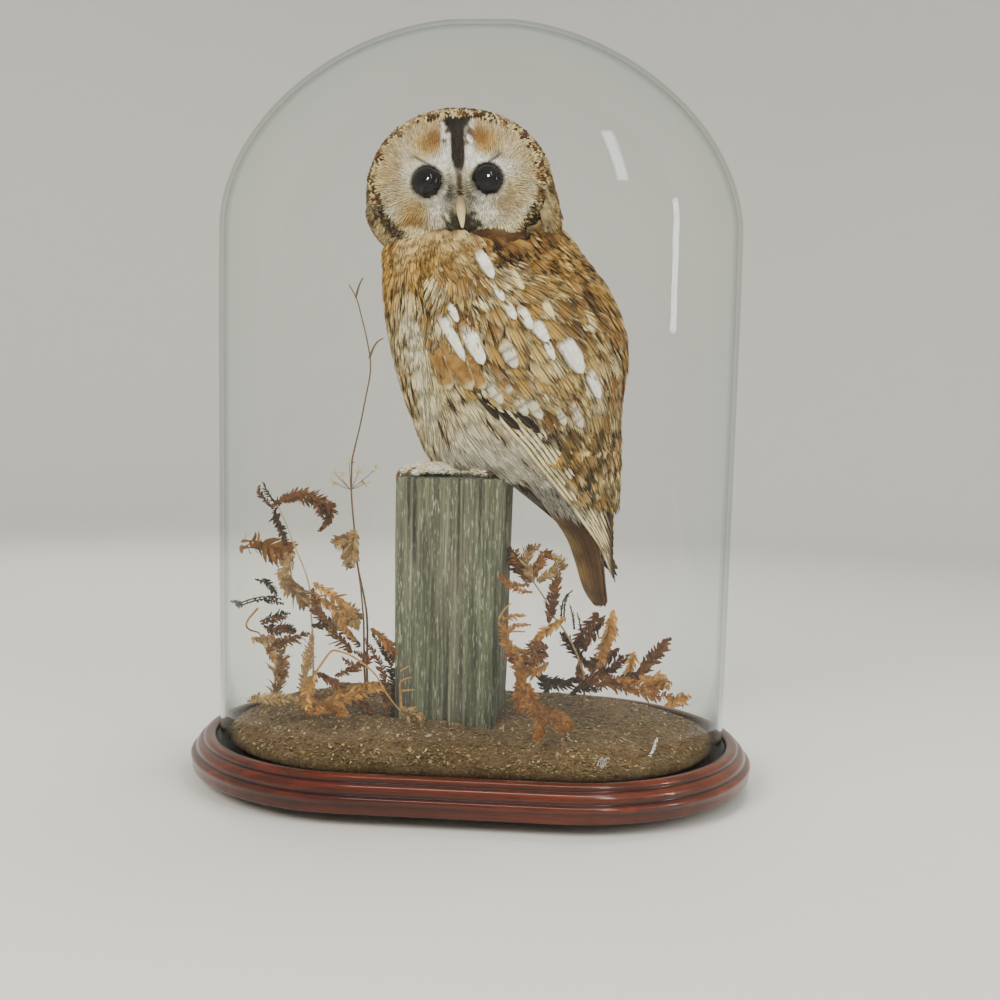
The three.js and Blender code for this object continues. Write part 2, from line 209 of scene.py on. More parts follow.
def objectPattern(tree, scale, kind="ShaderNodeTexNoise", **settings):
    # a pattern fixed in the object's own space, stretched by a scale for each axis
    place = addNode(tree, "ShaderNodeTexCoord")
    stretch = addNode(tree, "ShaderNodeMapping")
    stretch.inputs["Scale"].default_value = scale
    pattern = addNode(tree, kind, **settings)
    tree.links.new(place.outputs["Object"], stretch.inputs["Vector"])
    tree.links.new(stretch.outputs["Vector"], pattern.inputs["Vector"])
    return pattern


def ramp(tree, source, stops):
    # a colour ramp; stops are (place, colour)
    node = addNode(tree, "ShaderNodeValToRGB")
    line = node.color_ramp
    while len(line.elements) < len(stops):
        line.elements.new(0.5)
    for element, (place, colour) in zip(line.elements, stops):
        element.position = place
        element.color = (*colour, 1.0)
    tree.links.new(source, node.inputs["Fac"])
    return node


def mixColour(tree, factor, a, b, blend="MIX"):
    node = addNode(tree, "ShaderNodeMix", data_type="RGBA", blend_type=blend)
    for socket, value in ((node.inputs[0], factor), (node.inputs[6], a), (node.inputs[7], b)):
        if hasattr(value, "is_output"):
            tree.links.new(value, socket)
        elif np.isscalar(value):
            socket.default_value = value
        else:
            socket.default_value = (*value, 1.0)
    return node.outputs[2]


def addBump(tree, shader, height, strength, distance):
    node = addNode(tree, "ShaderNodeBump", Strength=strength, Distance=distance)
    tree.links.new(height, node.inputs["Height"])
    tree.links.new(node.outputs["Normal"], shader.inputs["Normal"])
    return node


def mahogany():
    # french polish over a long grain: two stretched noises and darker pores, in a clear coat
    material, tree, shader = newMaterial("mahogany", 0.32, Coat_Weight=0.6, Coat_Roughness=0.06,
                                         Specular_IOR_Level=0.25)
    grain = objectPattern(tree, (7, 90, 120), Scale=1.0, Detail=6.0, Roughness=0.62,
                          Distortion=0.6)
    figure = objectPattern(tree, (3, 9, 9), Scale=1.0, Detail=3.0)
    pores = objectPattern(tree, (60, 900, 900), Scale=1.0, Detail=2.0)
    wood = ramp(tree, grain.outputs["Fac"], [(0.28, tone("#150603")), (0.5, tone("#360f07")),
                                             (0.72, tone("#64240f"))])
    warm = ramp(tree, figure.outputs["Fac"], [(0.3, tone("#361007")), (0.7, tone("#743618"))])
    mixed = mixColour(tree, 0.35, wood.outputs["Color"], warm.outputs["Color"])
    dark = ramp(tree, pores.outputs["Fac"], [(0.3, (0.25, 0.25, 0.25)), (0.45, (1, 1, 1))])
    mixed = mixColour(tree, 0.55, mixed, dark.outputs["Color"], "MULTIPLY")
    # the tint carries painted light: shade in the moulding's grooves and on the feet, highlight on its beads
    groove = addNode(tree, "ShaderNodeAttribute", attribute_name="tint")
    mixed = mixColour(tree, 1.0, mixed, groove.outputs["Color"], "MULTIPLY")
    tree.links.new(mixed, shader.inputs["Base Color"])
    addBump(tree, shader, grain.outputs["Fac"], 0.06, 0.0004)
    return material


def domeGlass():
    # clear blown glass: see-through, mirrored more at a glancing angle, grey-green at the rim
    material = bpy.data.materials.new("domeGlass")
    material.use_nodes = True
    tree = material.node_tree
    tree.nodes.remove(tree.nodes["Principled BSDF"])
    out = tree.nodes["Material Output"]
    clear = addNode(tree, "ShaderNodeBsdfTransparent")
    shine = addNode(tree, "ShaderNodeBsdfGlossy", Roughness=0.03)
    shine.inputs["Color"].default_value = (0.95, 0.98, 1.0, 1.0)
    edge = addNode(tree, "ShaderNodeLayerWeight", Blend=0.5)
    veil = ramp(tree, edge.outputs["Facing"], [(0.0, (0.985, 0.99, 0.985)),
                                               (0.72, (0.95, 0.965, 0.955)),
                                               (1.0, (0.42, 0.47, 0.43))])
    tree.links.new(veil.outputs["Color"], clear.inputs["Color"])
    mirror = ramp(tree, edge.outputs["Facing"], [(0.0, (0.016,) * 3), (0.45, (0.022,) * 3),
                                                 (0.7, (0.1,) * 3), (0.86, (0.34,) * 3),
                                                 (1.0, (0.95,) * 3)])
    both = addNode(tree, "ShaderNodeMixShader")
    tree.links.new(mirror.outputs["Color"], both.inputs["Fac"])
    tree.links.new(clear.outputs["BSDF"], both.inputs[1])
    tree.links.new(shine.outputs["BSDF"], both.inputs[2])
    tree.links.new(both.outputs["Shader"], out.inputs["Surface"])
    return material


def weatheredWood():
    # split grey softwood: upright grain in pale and dark lines, green algae in broad patches
    material, tree, shader = newMaterial("weatheredWood", 0.92)
    lines = objectPattern(tree, (420, 420, 9), Scale=1.0, Detail=5.0, Roughness=0.7)
    broad = objectPattern(tree, (26, 26, 7), Scale=1.0, Detail=3.0)
    specks = objectPattern(tree, (900, 900, 120), Scale=1.0, Detail=2.0)
    wood = ramp(tree, lines.outputs["Fac"], [(0.3, tone("#26271e")), (0.43, tone("#504f40")),
                                             (0.56, tone("#66654f")), (0.74, tone("#a09f88"))])
    green = ramp(tree, lines.outputs["Fac"], [(0.3, tone("#282d1e")), (0.5, tone("#4b523a")),
                                              (0.72, tone("#7f876a"))])
    where = ramp(tree, broad.outputs["Fac"], [(0.38, (0, 0, 0)), (0.62, (1, 1, 1))])
    mixed = mixColour(tree, where.outputs["Color"], wood.outputs["Color"],
                      green.outputs["Color"])
    dust = ramp(tree, specks.outputs["Fac"], [(0.56, (0, 0, 0)), (0.68, (1, 1, 1))])
    mixed = mixColour(tree, dust.outputs["Color"], mixed, tone("#8f917d"))
    # the tint carries painted light: the post darker in its splits, lighter on its raised grain, and darker
    # towards the bottom
    shadeOf = addNode(tree, "ShaderNodeAttribute", attribute_name="tint")
    mixed = mixColour(tree, 1.0, mixed, shadeOf.outputs["Color"], "MULTIPLY")
    tree.links.new(mixed, shader.inputs["Base Color"])
    addBump(tree, shader, lines.outputs["Fac"], 0.6, 0.0012)
    return material


def earth():
    # brown soil and chaff: three sizes of noise between umber, fawn and straw
    material, tree, shader = newMaterial("earth", 1.0)
    lumps = objectPattern(tree, (60, 60, 60), Scale=1.0, Detail=6.0, Roughness=0.7)
    crumbs = objectPattern(tree, (520, 520, 520), Scale=1.0, Detail=4.0, Roughness=0.75)
    chaff = objectPattern(tree, (260, 900, 500), Scale=1.0, Detail=2.0, Distortion=1.5)
    soil = ramp(tree, crumbs.outputs["Fac"], [(0.3, tone("#2f2115")), (0.5, tone("#684e34")),
                                              (0.66, tone("#a08458"))])
    patch = ramp(tree, lumps.outputs["Fac"], [(0.35, tone("#4a3a2b")), (0.7, tone("#8d7a60"))])
    mixed = mixColour(tree, 0.4, soil.outputs["Color"], patch.outputs["Color"])
    straw = ramp(tree, chaff.outputs["Fac"], [(0.62, (0, 0, 0)), (0.7, (1, 1, 1))])
    mixed = mixColour(tree, straw.outputs["Color"], mixed, tone("#a08b62"))
    tree.links.new(mixed, shader.inputs["Base Color"])
    addBump(tree, shader, crumbs.outputs["Fac"], 0.9, 0.002)
    return material


def tinted(name, rough, grainScale, depth, bump=0.3, **sockets):
    # a piece that carries its own colours in tint, with a fine mottle over them
    material, tree, shader = newMaterial(name, rough, **sockets)
    own = addNode(tree, "ShaderNodeAttribute", attribute_name="tint")
    mottle = objectPattern(tree, grainScale, Scale=1.0, Detail=4.0, Roughness=0.65)
    shadeOf = ramp(tree, mottle.outputs["Fac"], [(0.3, (1 - depth,) * 3), (0.7, (1 + depth,) * 3)])
    mixed = mixColour(tree, 1.0, own.outputs["Color"], shadeOf.outputs["Color"], "MULTIPLY")
    tree.links.new(mixed, shader.inputs["Base Color"])
    addBump(tree, shader, mottle.outputs["Fac"], bump, 0.0005)
    return material


woodFinish = mahogany()
glassFinish = domeGlass()
postFinish = weatheredWood()
soilFinish = earth()
featherFinish = tinted("plumage", 0.8, (500, 500, 500), 0.16, 0.2, Specular_IOR_Level=0.18)
hornFinish = tinted("horn", 0.32, (300, 300, 120), 0.15, 0.08, Coat_Weight=0.3)
leafFinish = tinted("bracken", 0.85, (500, 500, 500), 0.35, 0.4, Specular_IOR_Level=0.3)
litterFinish = tinted("litter", 0.9, (600, 600, 600), 0.3, 0.3)
print("materials ready")


# the stage is a pale bowl: a flat floor whose rim sweeps up into a wall all round
stageLook = {"flat": 1.7, "bend": 0.7, "wall": 2.6, "colour": tone("#dcdad3")}


def makeStage(look):
    # a disc, then a quarter circle up, then a straight wall, turned about the upright axis
    arc = np.linspace(0, np.pi / 2, 14)
    radius = np.concatenate([[0.02, look["flat"]], look["flat"] + look["bend"] * np.sin(arc[1:]),
                             [look["flat"] + look["bend"]]])
    height = np.concatenate([[0, 0], look["bend"] * (1 - np.cos(arc[1:])), [look["wall"]]])
    turn = np.linspace(0, 2 * np.pi, 72, endpoint=False)
    x, y = radius[:, None] * np.cos(turn), radius[:, None] * np.sin(turn)
    points = np.stack([x, y, np.broadcast_to(height[:, None], x.shape)], -1).reshape(-1, 3)
    points = np.concatenate([points, [[0, 0, 0]]])
    i = np.arange(72)
    fan = np.stack([np.full(72, len(points) - 1), i, (i + 1) % 72], 1)
    mesh = bpy.data.meshes.new("backdrop")
    quads = gridFaces(len(radius), 72, aroundColumns=True)[:, ::-1]
    mesh.from_pydata(points.tolist(), [], quads.tolist() + fan.tolist())
    mesh.polygons.foreach_set("use_smooth", np.ones(len(mesh.polygons), dtype=bool))
    paper, tree, shader = newMaterial("paper", 0.95)
    shader.inputs["Base Color"].default_value = (*look["colour"], 1)
    mesh.materials.append(paper)
    stage = bpy.data.objects.new("backdrop", mesh)
    bpy.context.scene.collection.objects.link(stage)


makeStage(stageLook)

# name: place in metres, width, height, power in watts, colour, whether the glass mirrors it
lights = {
    "keyLight": ((-0.85, -1.3, 1.25), 0.8, 0.8, 32, (1.0, 0.96, 0.9), False),
    "windowLight": ((0.8, -1.15, 1.5), 0.2, 0.75, 7, (0.97, 0.98, 1.0), True),
    "fillLight": ((1.2, -1.0, 0.9), 0.8, 0.8, 9, (1.0, 0.97, 0.92), False),
    "catchLight": ((0.3, -1.55, 1.05), 0.34, 0.4, 110, (1.0, 1.0, 1.0), True),
    "stripLight": ((0.1, -0.5, 1.9), 1.2, 0.1, 9, (1.0, 0.98, 0.95), True),
    "sideLight": ((1.35, -0.5, 0.62), 0.06, 0.45, 3, (0.95, 0.98, 1.0), True),
    "topLight": ((0.35, 0.45, 1.75), 0.6, 0.5, 14, (1.0, 0.98, 0.95), False),
    "rearLight": ((-0.9, 1.2, 0.9), 0.7, 0.7, 6, (1.0, 0.97, 0.93), False),
}


def hangLight(name, place, width, height, power, colour, mirrored):
    # a soft rectangle turned to the middle of the bird
    lamp = bpy.data.lights.new(name, "AREA")
    lamp.shape = "RECTANGLE"
    lamp.size, lamp.size_y, lamp.energy, lamp.color = width, height, power, colour
    hung = bpy.data.objects.new(name, lamp)
    back = unit(np.array(place) - np.array([0, 0, 0.28]))
    right = unit(np.cross([0, 0, 1.0], back))
    turn = np.eye(4)
    turn[:3, 0], turn[:3, 1], turn[:3, 2], turn[:3, 3] = right, np.cross(back, right), back, place
    hung.matrix_world = Matrix(turn.tolist())
    hung.visible_glossy = mirrored
    bpy.context.scene.collection.objects.link(hung)


for lightName, settings in lights.items():
    hangLight(lightName, *settings)
sky = bpy.data.worlds.new("sky")
sky.use_nodes = True
sky.node_tree.nodes["Background"].inputs["Color"].default_value = (0.93, 0.95, 1.0, 1)
sky.node_tree.nodes["Background"].inputs["Strength"].default_value = 0.55
bpy.context.scene.world = sky
print("stage and lights ready")


def randomWaves(seed, count=14):
    # directions, speeds and phases of a sum of sines used as a cheap smooth noise
    source = np.random.default_rng(seed)
    return (unit(source.normal(size=(count, 3))) * source.uniform(0.6, 1.7, (count, 1)),
            source.uniform(0, 2 * np.pi, count))


def drift(points, size, seed):
    # smooth noise about -1 to 1 whose lumps are about size across
    directions, phases = randomWaves(seed)
    waves = np.asarray(points) @ directions.T * (np.pi / size) + phases
    return np.sin(waves).sum(-1) / np.sqrt(len(phases)) * 0.9


# the base: half length of the straight run, then the moulding as (end radius, height, shade),
# where the shade is painted light: below 1 a painted shade in the grooves, above 1 a painted
# highlight on the beads
base = {
    "spine": 70,
    "moulding": [(126, 9.2, 0.5), (133, 9.2, 0.6), (134.2, 9.8, 0.8), (134.5, 10.8, 0.9),
                 (134.5, 13.5, 0.85), (134.4, 16.2, 0.5), (134.9, 16.6, 0.8), (135.4, 17.6, 1.1),
                 (135.5, 18.4, 1.2), (135.2, 19.4, 1.2), (134.3, 20.4, 1.0), (133.0, 20.9, 0.7),
                 (131.7, 21.2, 0.25), (131.3, 21.8, 0.3), (131.6, 22.6, 0.75), (131.5, 24.0, 1.0),
                 (130.8, 25.6, 1.15), (129.6, 27.0, 1.2), (128.2, 27.8, 1.0), (127.0, 28.1, 0.6),
                 (126.3, 28.2, 0.2), (126.1, 29.0, 0.25), (126.1, 30.0, 0.8), (125.6, 31.1, 1.0),
                 (124.4, 32.0, 1.1), (122.6, 32.4, 1.1), (120.6, 32.4, 1.0), (118.8, 32.1, 0.9),
                 (117.8, 31.4, 0.7), (117.5, 30.4, 0.4), (117.5, 27.0, 0.2), (102, 27.0, 0.2)],
    "footAt": (105, 92),
    "foot": [(0.02, 0), (5, 0), (7.6, 0.3), (9.4, 1.2), (10.6, 2.6), (11, 4.4), (10.6, 6.0),
             (9.7, 7.2), (8.9, 8.0), (8.2, 8.8), (6, 8.9), (0.02, 8.9)],
}


def ovalRing(radius, z, half, steps=44):
    # two half circles of one radius at the ends of a straight run, seen from above
    turn = np.linspace(-np.pi / 2, np.pi / 2, steps)
    run = np.linspace(-1, 1, 12)[1:-1]
    x = np.concatenate([half + radius * np.cos(turn), -run * half,
                        -half - radius * np.cos(turn), run * half])
    y = np.concatenate([radius * np.sin(turn), np.full(10, radius),
                        -radius * np.sin(turn), np.full(10, -radius)])
    return np.stack([x, y, np.full(len(x), z)], -1)


def makeBase(look):
    rings = np.stack([ovalRing(r, z, look["spine"]) for r, z, _ in look["moulding"]])
    points, faces = closedRings(rings)
    # painted shade and highlight for each ring of the moulding, carried in the tint; the two end centres
    # darker
    shade = np.repeat([s for _, _, s in look["moulding"]], rings.shape[1])
    shade = np.concatenate([shade, [0.4, 0.2]])[:, None] * np.ones(3)
    makePiece("mahoganyBase", points, faces, woodFinish, ["base"], shade)
    turn = np.linspace(0, 2 * np.pi, 32, endpoint=False)
    for i, (sx, sy) in enumerate([(-1, -1), (1, -1), (1, 1), (-1, 1)]):
        r, z = np.array(look["foot"]).T
        ring = np.stack([r[:, None] * np.cos(turn) + sx * look["footAt"][0],
                         r[:, None] * np.sin(turn) + sy * look["footAt"][1],
                         z[:, None] + turn * 0], -1)
        points, faces = closedRings(ring)
        # painted shade: the feet darker, as they stand under the base
        makePiece(f"bunFoot{i + 1}", points, faces, woodFinish, [f"foot_{i + 1}"],
                  np.full((len(points), 3), 0.7))


makeBase(base)
print("base ready")

dome = {"radius": 114.5, "belly": 117, "bellyAt": 330, "wall": 3, "from": 27.3, "shoulder": 395,
        "crown": 149, "round": 1.85}


def domeRings(look, inset):
    # swelling a little up to the belly, upright to the shoulder, then a crown whose run and
    # radius both shrink as it climbs
    rings = [ovalRing(np.interp(z, [look["from"], look["bellyAt"]],
                                [look["radius"], look["belly"]]) - inset, z, base["spine"], 64)
             for z in [*np.linspace(look["from"], look["bellyAt"], 7), look["shoulder"]]]
    for climb in np.sin(np.linspace(0, np.pi / 2, 30)[1:-1]):
        shrink = (1 - climb ** look["round"]) ** (1 / look["round"])
        rings.append(ovalRing((look["belly"] - inset) * shrink,
                              look["shoulder"] + (look["crown"] - inset) * climb,
                              base["spine"] * shrink, 64))
    return np.stack(rings)


def makeDome(look):
    outer, inner = domeRings(look, 0), domeRings(look, look["wall"])
    points, faces = closedRings(np.concatenate([outer[::-1], inner]))
    makePiece("glassDome", points, faces, glassFinish, ["glass_dome"])


makeDome(dome)
print("dome ready")

post = {"size": (77, 72), "at": (-14, 0), "top": 221, "foot": 27.3, "yaw": -0.05,
        "corner": 3.2, "around": 288, "levels": 60, "groove": 1.0}


def roundedSquare(count, wide, deep, corner):
    # even steps round a rectangle of half sizes wide and deep with rounded corners
    fine = np.linspace(0, 2 * np.pi, 4000, endpoint=False)
    x, y = np.cos(fine), np.sin(fine)
    reach = 1 / np.maximum(np.abs(x), np.abs(y))
    x, y = x * reach, y * reach
    x = np.clip(x * wide, -(wide - corner), wide - corner)
    y = np.clip(y * deep, -(deep - corner), deep - corner)
    away = np.stack([np.cos(fine) * reach * wide - x, np.sin(fine) * reach * deep - y], -1)
    line = np.stack([x, y], -1) + unit(away) * corner
    step = np.linalg.norm(np.roll(line, -1, 0) - line, axis=1)
    at = np.concatenate([[0], np.cumsum(step)[:-1]])
    pick = np.linspace(0, step.sum(), count, endpoint=False)
    return np.stack([np.interp(pick, at, line[:, 0]), np.interp(pick, at, line[:, 1])], -1)


def makePost(look):
    # a rounded square drawn up; splits are random columns of depth that fade up and down
    n, levels = look["around"], look["levels"]
    source = np.random.default_rng(5)
    z = np.linspace(look["foot"], look["top"] - 0.4, levels)
    part = (z - look["foot"]) / (look["top"] - look["foot"])
    size = np.interp(z, [27, 60, 219.8, 221], [0.94, 0.95, 1, 0.99])
    fine = source.normal(size=(4, n))
    blend = np.stack([np.clip(1 - np.abs(part * 3 - k), 0, 1) for k in range(4)], 1) @ fine
    broad = np.stack([np.roll(blend, k, 1) for k in range(-3, 4)]).mean(0) * 1.6
    depth = np.clip(blend * 0.28 + broad * 0.5, -1.2, 0.55)
    for crack in range(22):
        middle, low, high = source.integers(n), source.uniform(-0.3, 0.8), source.uniform(0.2, 0.7)
        near = np.exp(-((np.arange(n) - middle + n / 2) % n - n / 2) ** 2 / 1.3)
        depth -= 2.0 * near * smooth(low, low + 0.1, part)[:, None] \
            * (1 - smooth(low + high, low + high + 0.12, part))[:, None]
    square = roundedSquare(n, look["size"][0] / 2, look["size"][1] / 2, look["corner"])
    normal = np.roll(square, -1, 0) - np.roll(square, 1, 0)
    normal = unit(np.stack([normal[:, 1], -normal[:, 0]], -1))
    rings = square * size[:, None, None] + normal * (depth * look["groove"] - 0.5)[..., None]
    rings = np.concatenate([rings, z[:, None, None] + np.zeros((levels, n, 1))], 2)
    # painted shade and highlight: the splits and grooves darker by their depth, the raised grain lighter
    shade = 1 + 0.42 * np.clip(depth, -1.3, 0.5)
    caps, capShade = [], []
    for share in (0.985, 0.95, 0.85, 0.7, 0.5, 0.3, 0.12):
        cap = rings[-1].copy()
        cap[:, :2] *= share
        cap[:, 2] = look["top"] - 0.2 + 0.5 * drift(cap, 5, 8) - 0.5
        caps.append(np.minimum(cap, [999, 999, look["top"]]))
        capShade.append(0.95 + 0.1 * drift(cap, 2.5, 9))
    rings = np.concatenate([rings, caps])
    shade = np.concatenate([shade, capShade])
    c, s = math.cos(look["yaw"]), math.sin(look["yaw"])
    x, y = rings[..., 0].copy(), rings[..., 1].copy()
    rings[..., 0] = x * c - y * s + look["at"][0]
    rings[..., 1] = x * s + y * c + look["at"][1]
    points, faces = closedRings(rings)
    shade = np.concatenate([shade.ravel(), [0.5, 0.9]])
    # darker towards the bottom
    low = smooth(40, 95, points[:, 2])
    shade = (shade * (0.72 + 0.28 * low))[:, None] * np.ones(3)
    makePiece("weatheredPost", points, faces, postFinish, ["post"], shade)


makePost(post)
print("post ready")

ground = {"radius": 108, "edge": 33, "rise": 13, "bits": 4600,
          "straw": [tone(c) for c in ("#c9b27a", "#b39a60", "#8d7a4b", "#a5875a", "#d8cba0",
                                      "#6b5335", "#77663f")]}


def moundHeight(x, y):
    # quick rise from the rim to a broad top with slow lumps and a slight lean
    away = np.hypot(np.maximum(np.abs(x) - base["spine"], 0), y)
    edge = np.maximum(0, 1 - away / ground["radius"])
    rise = 1 - (1 - np.minimum(edge * 1.6, 1)) ** 2
    lumps = 1.6 * np.sin(x * 0.045 + 1) * np.cos(y * 0.06) + 1.1 * np.sin(x * 0.11 + y * 0.09)
    return ground["edge"] + rise * (ground["rise"] - x * 0.03 + y * 0.03 + lumps)


def scatterBits(look, source):
    # short crooked straws, chips and seeds: flattened three-ring tubes lying on the mound
    count = look["bits"]
    x = source.uniform(-176, 176, count * 2)
    y = -106 + 212 * source.uniform(0, 1, count * 2) ** 1.5
    inside = np.hypot(np.maximum(np.abs(x) - base["spine"], 0), y) < look["radius"] - 2.5
    offPost = np.maximum(np.abs(x + 14.5) / 38, np.abs(y) / 36) > 1.0
    keep = np.flatnonzero(inside & offPost)[:count]
    x, y = x[keep], y[keep]
    count = len(keep)
    kind = source.random(count)
    length = np.where(kind < 0.05, source.uniform(6, 13, count), source.uniform(1.0, 3.8, count))
    wide = np.where(kind < 0.05, source.uniform(0.25, 0.45, count), source.uniform(0.3, 0.8, count))
    wide = np.where(kind > 0.97, source.uniform(1.2, 2.2, count), wide)
    turn = source.uniform(0, 2 * np.pi, count)
    tilt = source.normal(0, 0.35, count)
    bow = source.normal(0, 0.1, count) * length
    t = np.array([-1, -0.4, 0.3, 1.0])
    along = t * (length / 2)[:, None]
    side = (1 - t ** 2) * bow[:, None]
    px = x[:, None] + along * np.cos(turn)[:, None] - side * np.sin(turn)[:, None]
    py = y[:, None] + along * np.sin(turn)[:, None] + side * np.cos(turn)[:, None]
    away = np.hypot(np.maximum(np.abs(px) - base["spine"], 0), py)
    px = np.where(away > look["radius"] - 1, px * 0.985, px)
    py = np.where(away > look["radius"] - 1, py * 0.985, py)
    pz = moundHeight(px, py) + 0.5 + along * np.sin(tilt)[:, None] * 0.5
    pz = np.maximum(pz, moundHeight(px, py) + 0.2)
    spine = np.stack([px, py, pz], -1)
    across = np.stack([-np.sin(turn), np.cos(turn), 0 * turn], -1)[:, None, None]
    corner = np.array([0, 2 * np.pi / 3, 4 * np.pi / 3]) + 0.5
    taper = np.array([0.5, 1.0, 0.9, 0.35]) * wide[:, None]
    ring = (across * np.cos(corner)[:, None] + np.array([0, 0, 1.0]) * np.sin(corner)[:, None] * 0.6)
    rings = spine[:, :, None] + ring * taper[:, :, None, None]
    points = rings.reshape(count, 12, 3)
    one = gridFaces(4, 3, aroundColumns=True)
    caps = np.array([[0, 2, 1], [9, 10, 11]])
    colour = np.array(look["straw"])[source.integers(len(look["straw"]), size=count)]
    colour = colour * source.uniform(0.35, 0.95, (count, 1))
    shift = np.arange(count)[:, None, None] * 12
    quads, caps = outward(points[0], [one, caps])
    return (points.reshape(-1, 3), [(quads[None] + shift).reshape(-1, 4),
                                    (caps[None] + shift).reshape(-1, 3)],
            np.repeat(colour, 12, axis=0))


def makeGround(look):
    # rings shrinking in from the rim, each point lifted to the mound, roughened by small noise
    share = np.concatenate([[0.98, 1.0], np.linspace(0.995, 0.02, 70)])
    rings = np.stack([ovalRing(look["radius"] * s, 0, base["spine"] * (0.15 + 0.85 * s), 84)
                      for s in share])
    x, y = rings[..., 0], rings[..., 1]
    rings[..., 2] = moundHeight(x, y) + 0.7 * drift(rings, 4, 21) * smooth(0, 6, 70 * (1 - share))[:, None] \
        + 0.35 * drift(rings, 1.9, 22) * smooth(0, 3, 70 * (1 - share))[:, None]
    rings[0, :, 2], rings[1, :, 2] = 27.3, look["edge"] - 3
    points, faces = closedRings(rings)
    makePiece("soilMound", points, faces, soilFinish, ["ground"])
    bits, bitFaces, colour = scatterBits(look, np.random.default_rng(77))
    makePiece("chaff", bits, bitFaces, litterFinish, [], colour, shiny=False)


makeGround(ground)
print("ground ready")

# the bird: sections as (height, set back, half depth, half width); a point of a section is
# found by its turn, 0 at the breast, 90 degrees at the left side and 180 at the back
bird = {
    "stand": (-12, 2), "ahead": (-0.866, -0.5), "leftward": (0.5, -0.866),
    "trunk": [(222.5, 30, 38, 32), (227, 34, 50, 44), (238, 38, 62, 54), (254, 39, 69, 61),
              (278, 37, 77, 68), (300, 37, 84, 72), (316, 36, 87, 73), (332, 33, 88, 72),
              (356, 27, 85, 69), (370, 21, 79, 66), (384, 14, 73, 63), (392, 14, 68, 60),
              (402, 15, 62, 56), (412, 16, 54, 48)],
    "wing": [(128, 127, 6, 9), (139, 124, 10, 14), (165, 107, 24, 26), (190, 88, 44, 36),
             (213, 72, 60, 48), (231, 60, 71, 58), (254, 50, 78, 68), (278, 43, 83, 76),
             (300, 40, 91, 80), (316, 38, 92, 80), (332, 34, 92, 79), (356, 27, 88, 74),
             (370, 21, 82, 70), (385, 13, 75, 65), (392, 13.5, 70, 61), (402, 15, 62, 56),
             (412, 16, 54, 48)],
    "tail": [(117, 122, 2, 5), (120, 121.5, 3.2, 12), (131, 116.6, 4.5, 16), (150, 112, 5, 20),
             (168, 107, 7, 23), (182, 100, 11, 25), (201, 90, 17, 27), (214, 82, 23, 30),
             (226, 74, 28, 32), (240, 64, 27, 32)],
    # wing from shoulder to tip: front edge turn and height, rear edge turn and height, thickness
    "wingStops": [(44, 366, 78, 368, 4), (36, 350, 100, 354, 8), (31, 326, 116, 338, 10),
                  (33, 306, 124, 320, 10.5), (42, 289, 130, 300, 10), (50, 280, 134, 284, 9.5),
                  (57, 265, 136, 267, 9), (66, 247, 138, 248, 8.5), (72, 230, 139, 230, 8),
                  (77, 213, 141, 212, 7), (84, 192, 142, 191, 6), (92, 170, 142, 168, 5),
                  (97, 152, 138, 148, 3.6), (104, 138, 130, 133, 2.4)],
    "farTipBack": 20,
}
stand = np.array([*bird["stand"], 0.0])
ahead = np.array([*bird["ahead"], 0.0])
leftward = np.array([*bird["leftward"], 0.0])


def evenTable(levels):
    # the sections at every half millimetre, averaged over 11 mm so that no crease is left
    levels = np.array(levels, dtype=float)
    z = np.arange(levels[0, 0], levels[-1, 0] + 0.01, 0.5)
    columns = [np.interp(z, levels[:, 0], levels[:, k]) for k in (1, 2, 3)]
    columns = [np.pad(c, 11, mode="reflect", reflect_type="odd") for c in columns]
    return z, np.stack([np.convolve(c, np.ones(23) / 23, mode="valid") for c in columns])


tables = {key: evenTable(bird[key]) for key in ("trunk", "wing", "tail")}


def sectionAt(form, z):
    heights, columns = tables[form]
    return [np.interp(z, heights, c) for c in columns]


def onForm(form, turn, z, grow=0.0):
    # set back from the stand, then out by the half depth and half width at that turn
    setBack, deep, wide = sectionAt(form, z)
    along = (deep + grow) * np.cos(turn) - setBack
    aside = (wide + grow) * np.sin(turn)
    flat = stand + ahead * along[..., None] + leftward * aside[..., None]
    return flat + np.array([0, 0, 1.0]) * z[..., None]


def farBack(turn, z):
    # the far wing lies further back towards its tip
    part = np.clip((366 - z) / 231, 0, 1) ** 3
    return np.where(turn < 0, bird["farTipBack"] * part, 0.0)


def onCoat(turn, z, grow=0.0):
    # the wing form where a wing lies, the trunk form on the breast and low between the wings
    side = np.abs(np.degrees(turn))
    winged = smooth(27, 46, side) * (1 - smooth(141, 158, side) * (1 - smooth(285, 330, z)))
    wing = onForm("wing", turn, z, grow) - ahead * farBack(turn, z)[..., None]
    return mix(onForm("trunk", turn, z, grow), wing, winged)


def turnOf(points, form):
    # the turn and height of the section point nearest to each point, seen from above
    z = points[..., 2]
    setBack, deep, wide = sectionAt(form, z)
    away = points - stand
    along, aside = away @ ahead + setBack, away @ leftward
    turn = np.arctan2(aside / wide, along / deep)
    if form == "wing":
        turn = np.arctan2(aside / wide, (along + farBack(turn, z)) / deep)
    return turn, z


def hugger(form, surface):
    # moves points onto a surface of turn and height, and gives the way out there
    def hug(points):
        turn, z = turnOf(points, form)
        step = 0.02
        middle = surface(turn, z)
        round_ = surface(turn + step, z) - surface(turn - step, z)
        rise = surface(turn, z + 1.0) - surface(turn, z - 1.0)
        return middle, unit(np.cross(round_, rise))
    return hug


hugCoat = hugger("wing", onCoat)
hugTrunk = hugger("trunk", lambda turn, z: onForm("trunk", turn, z))
hugTail = hugger("tail", lambda turn, z: onForm("tail", turn, z))

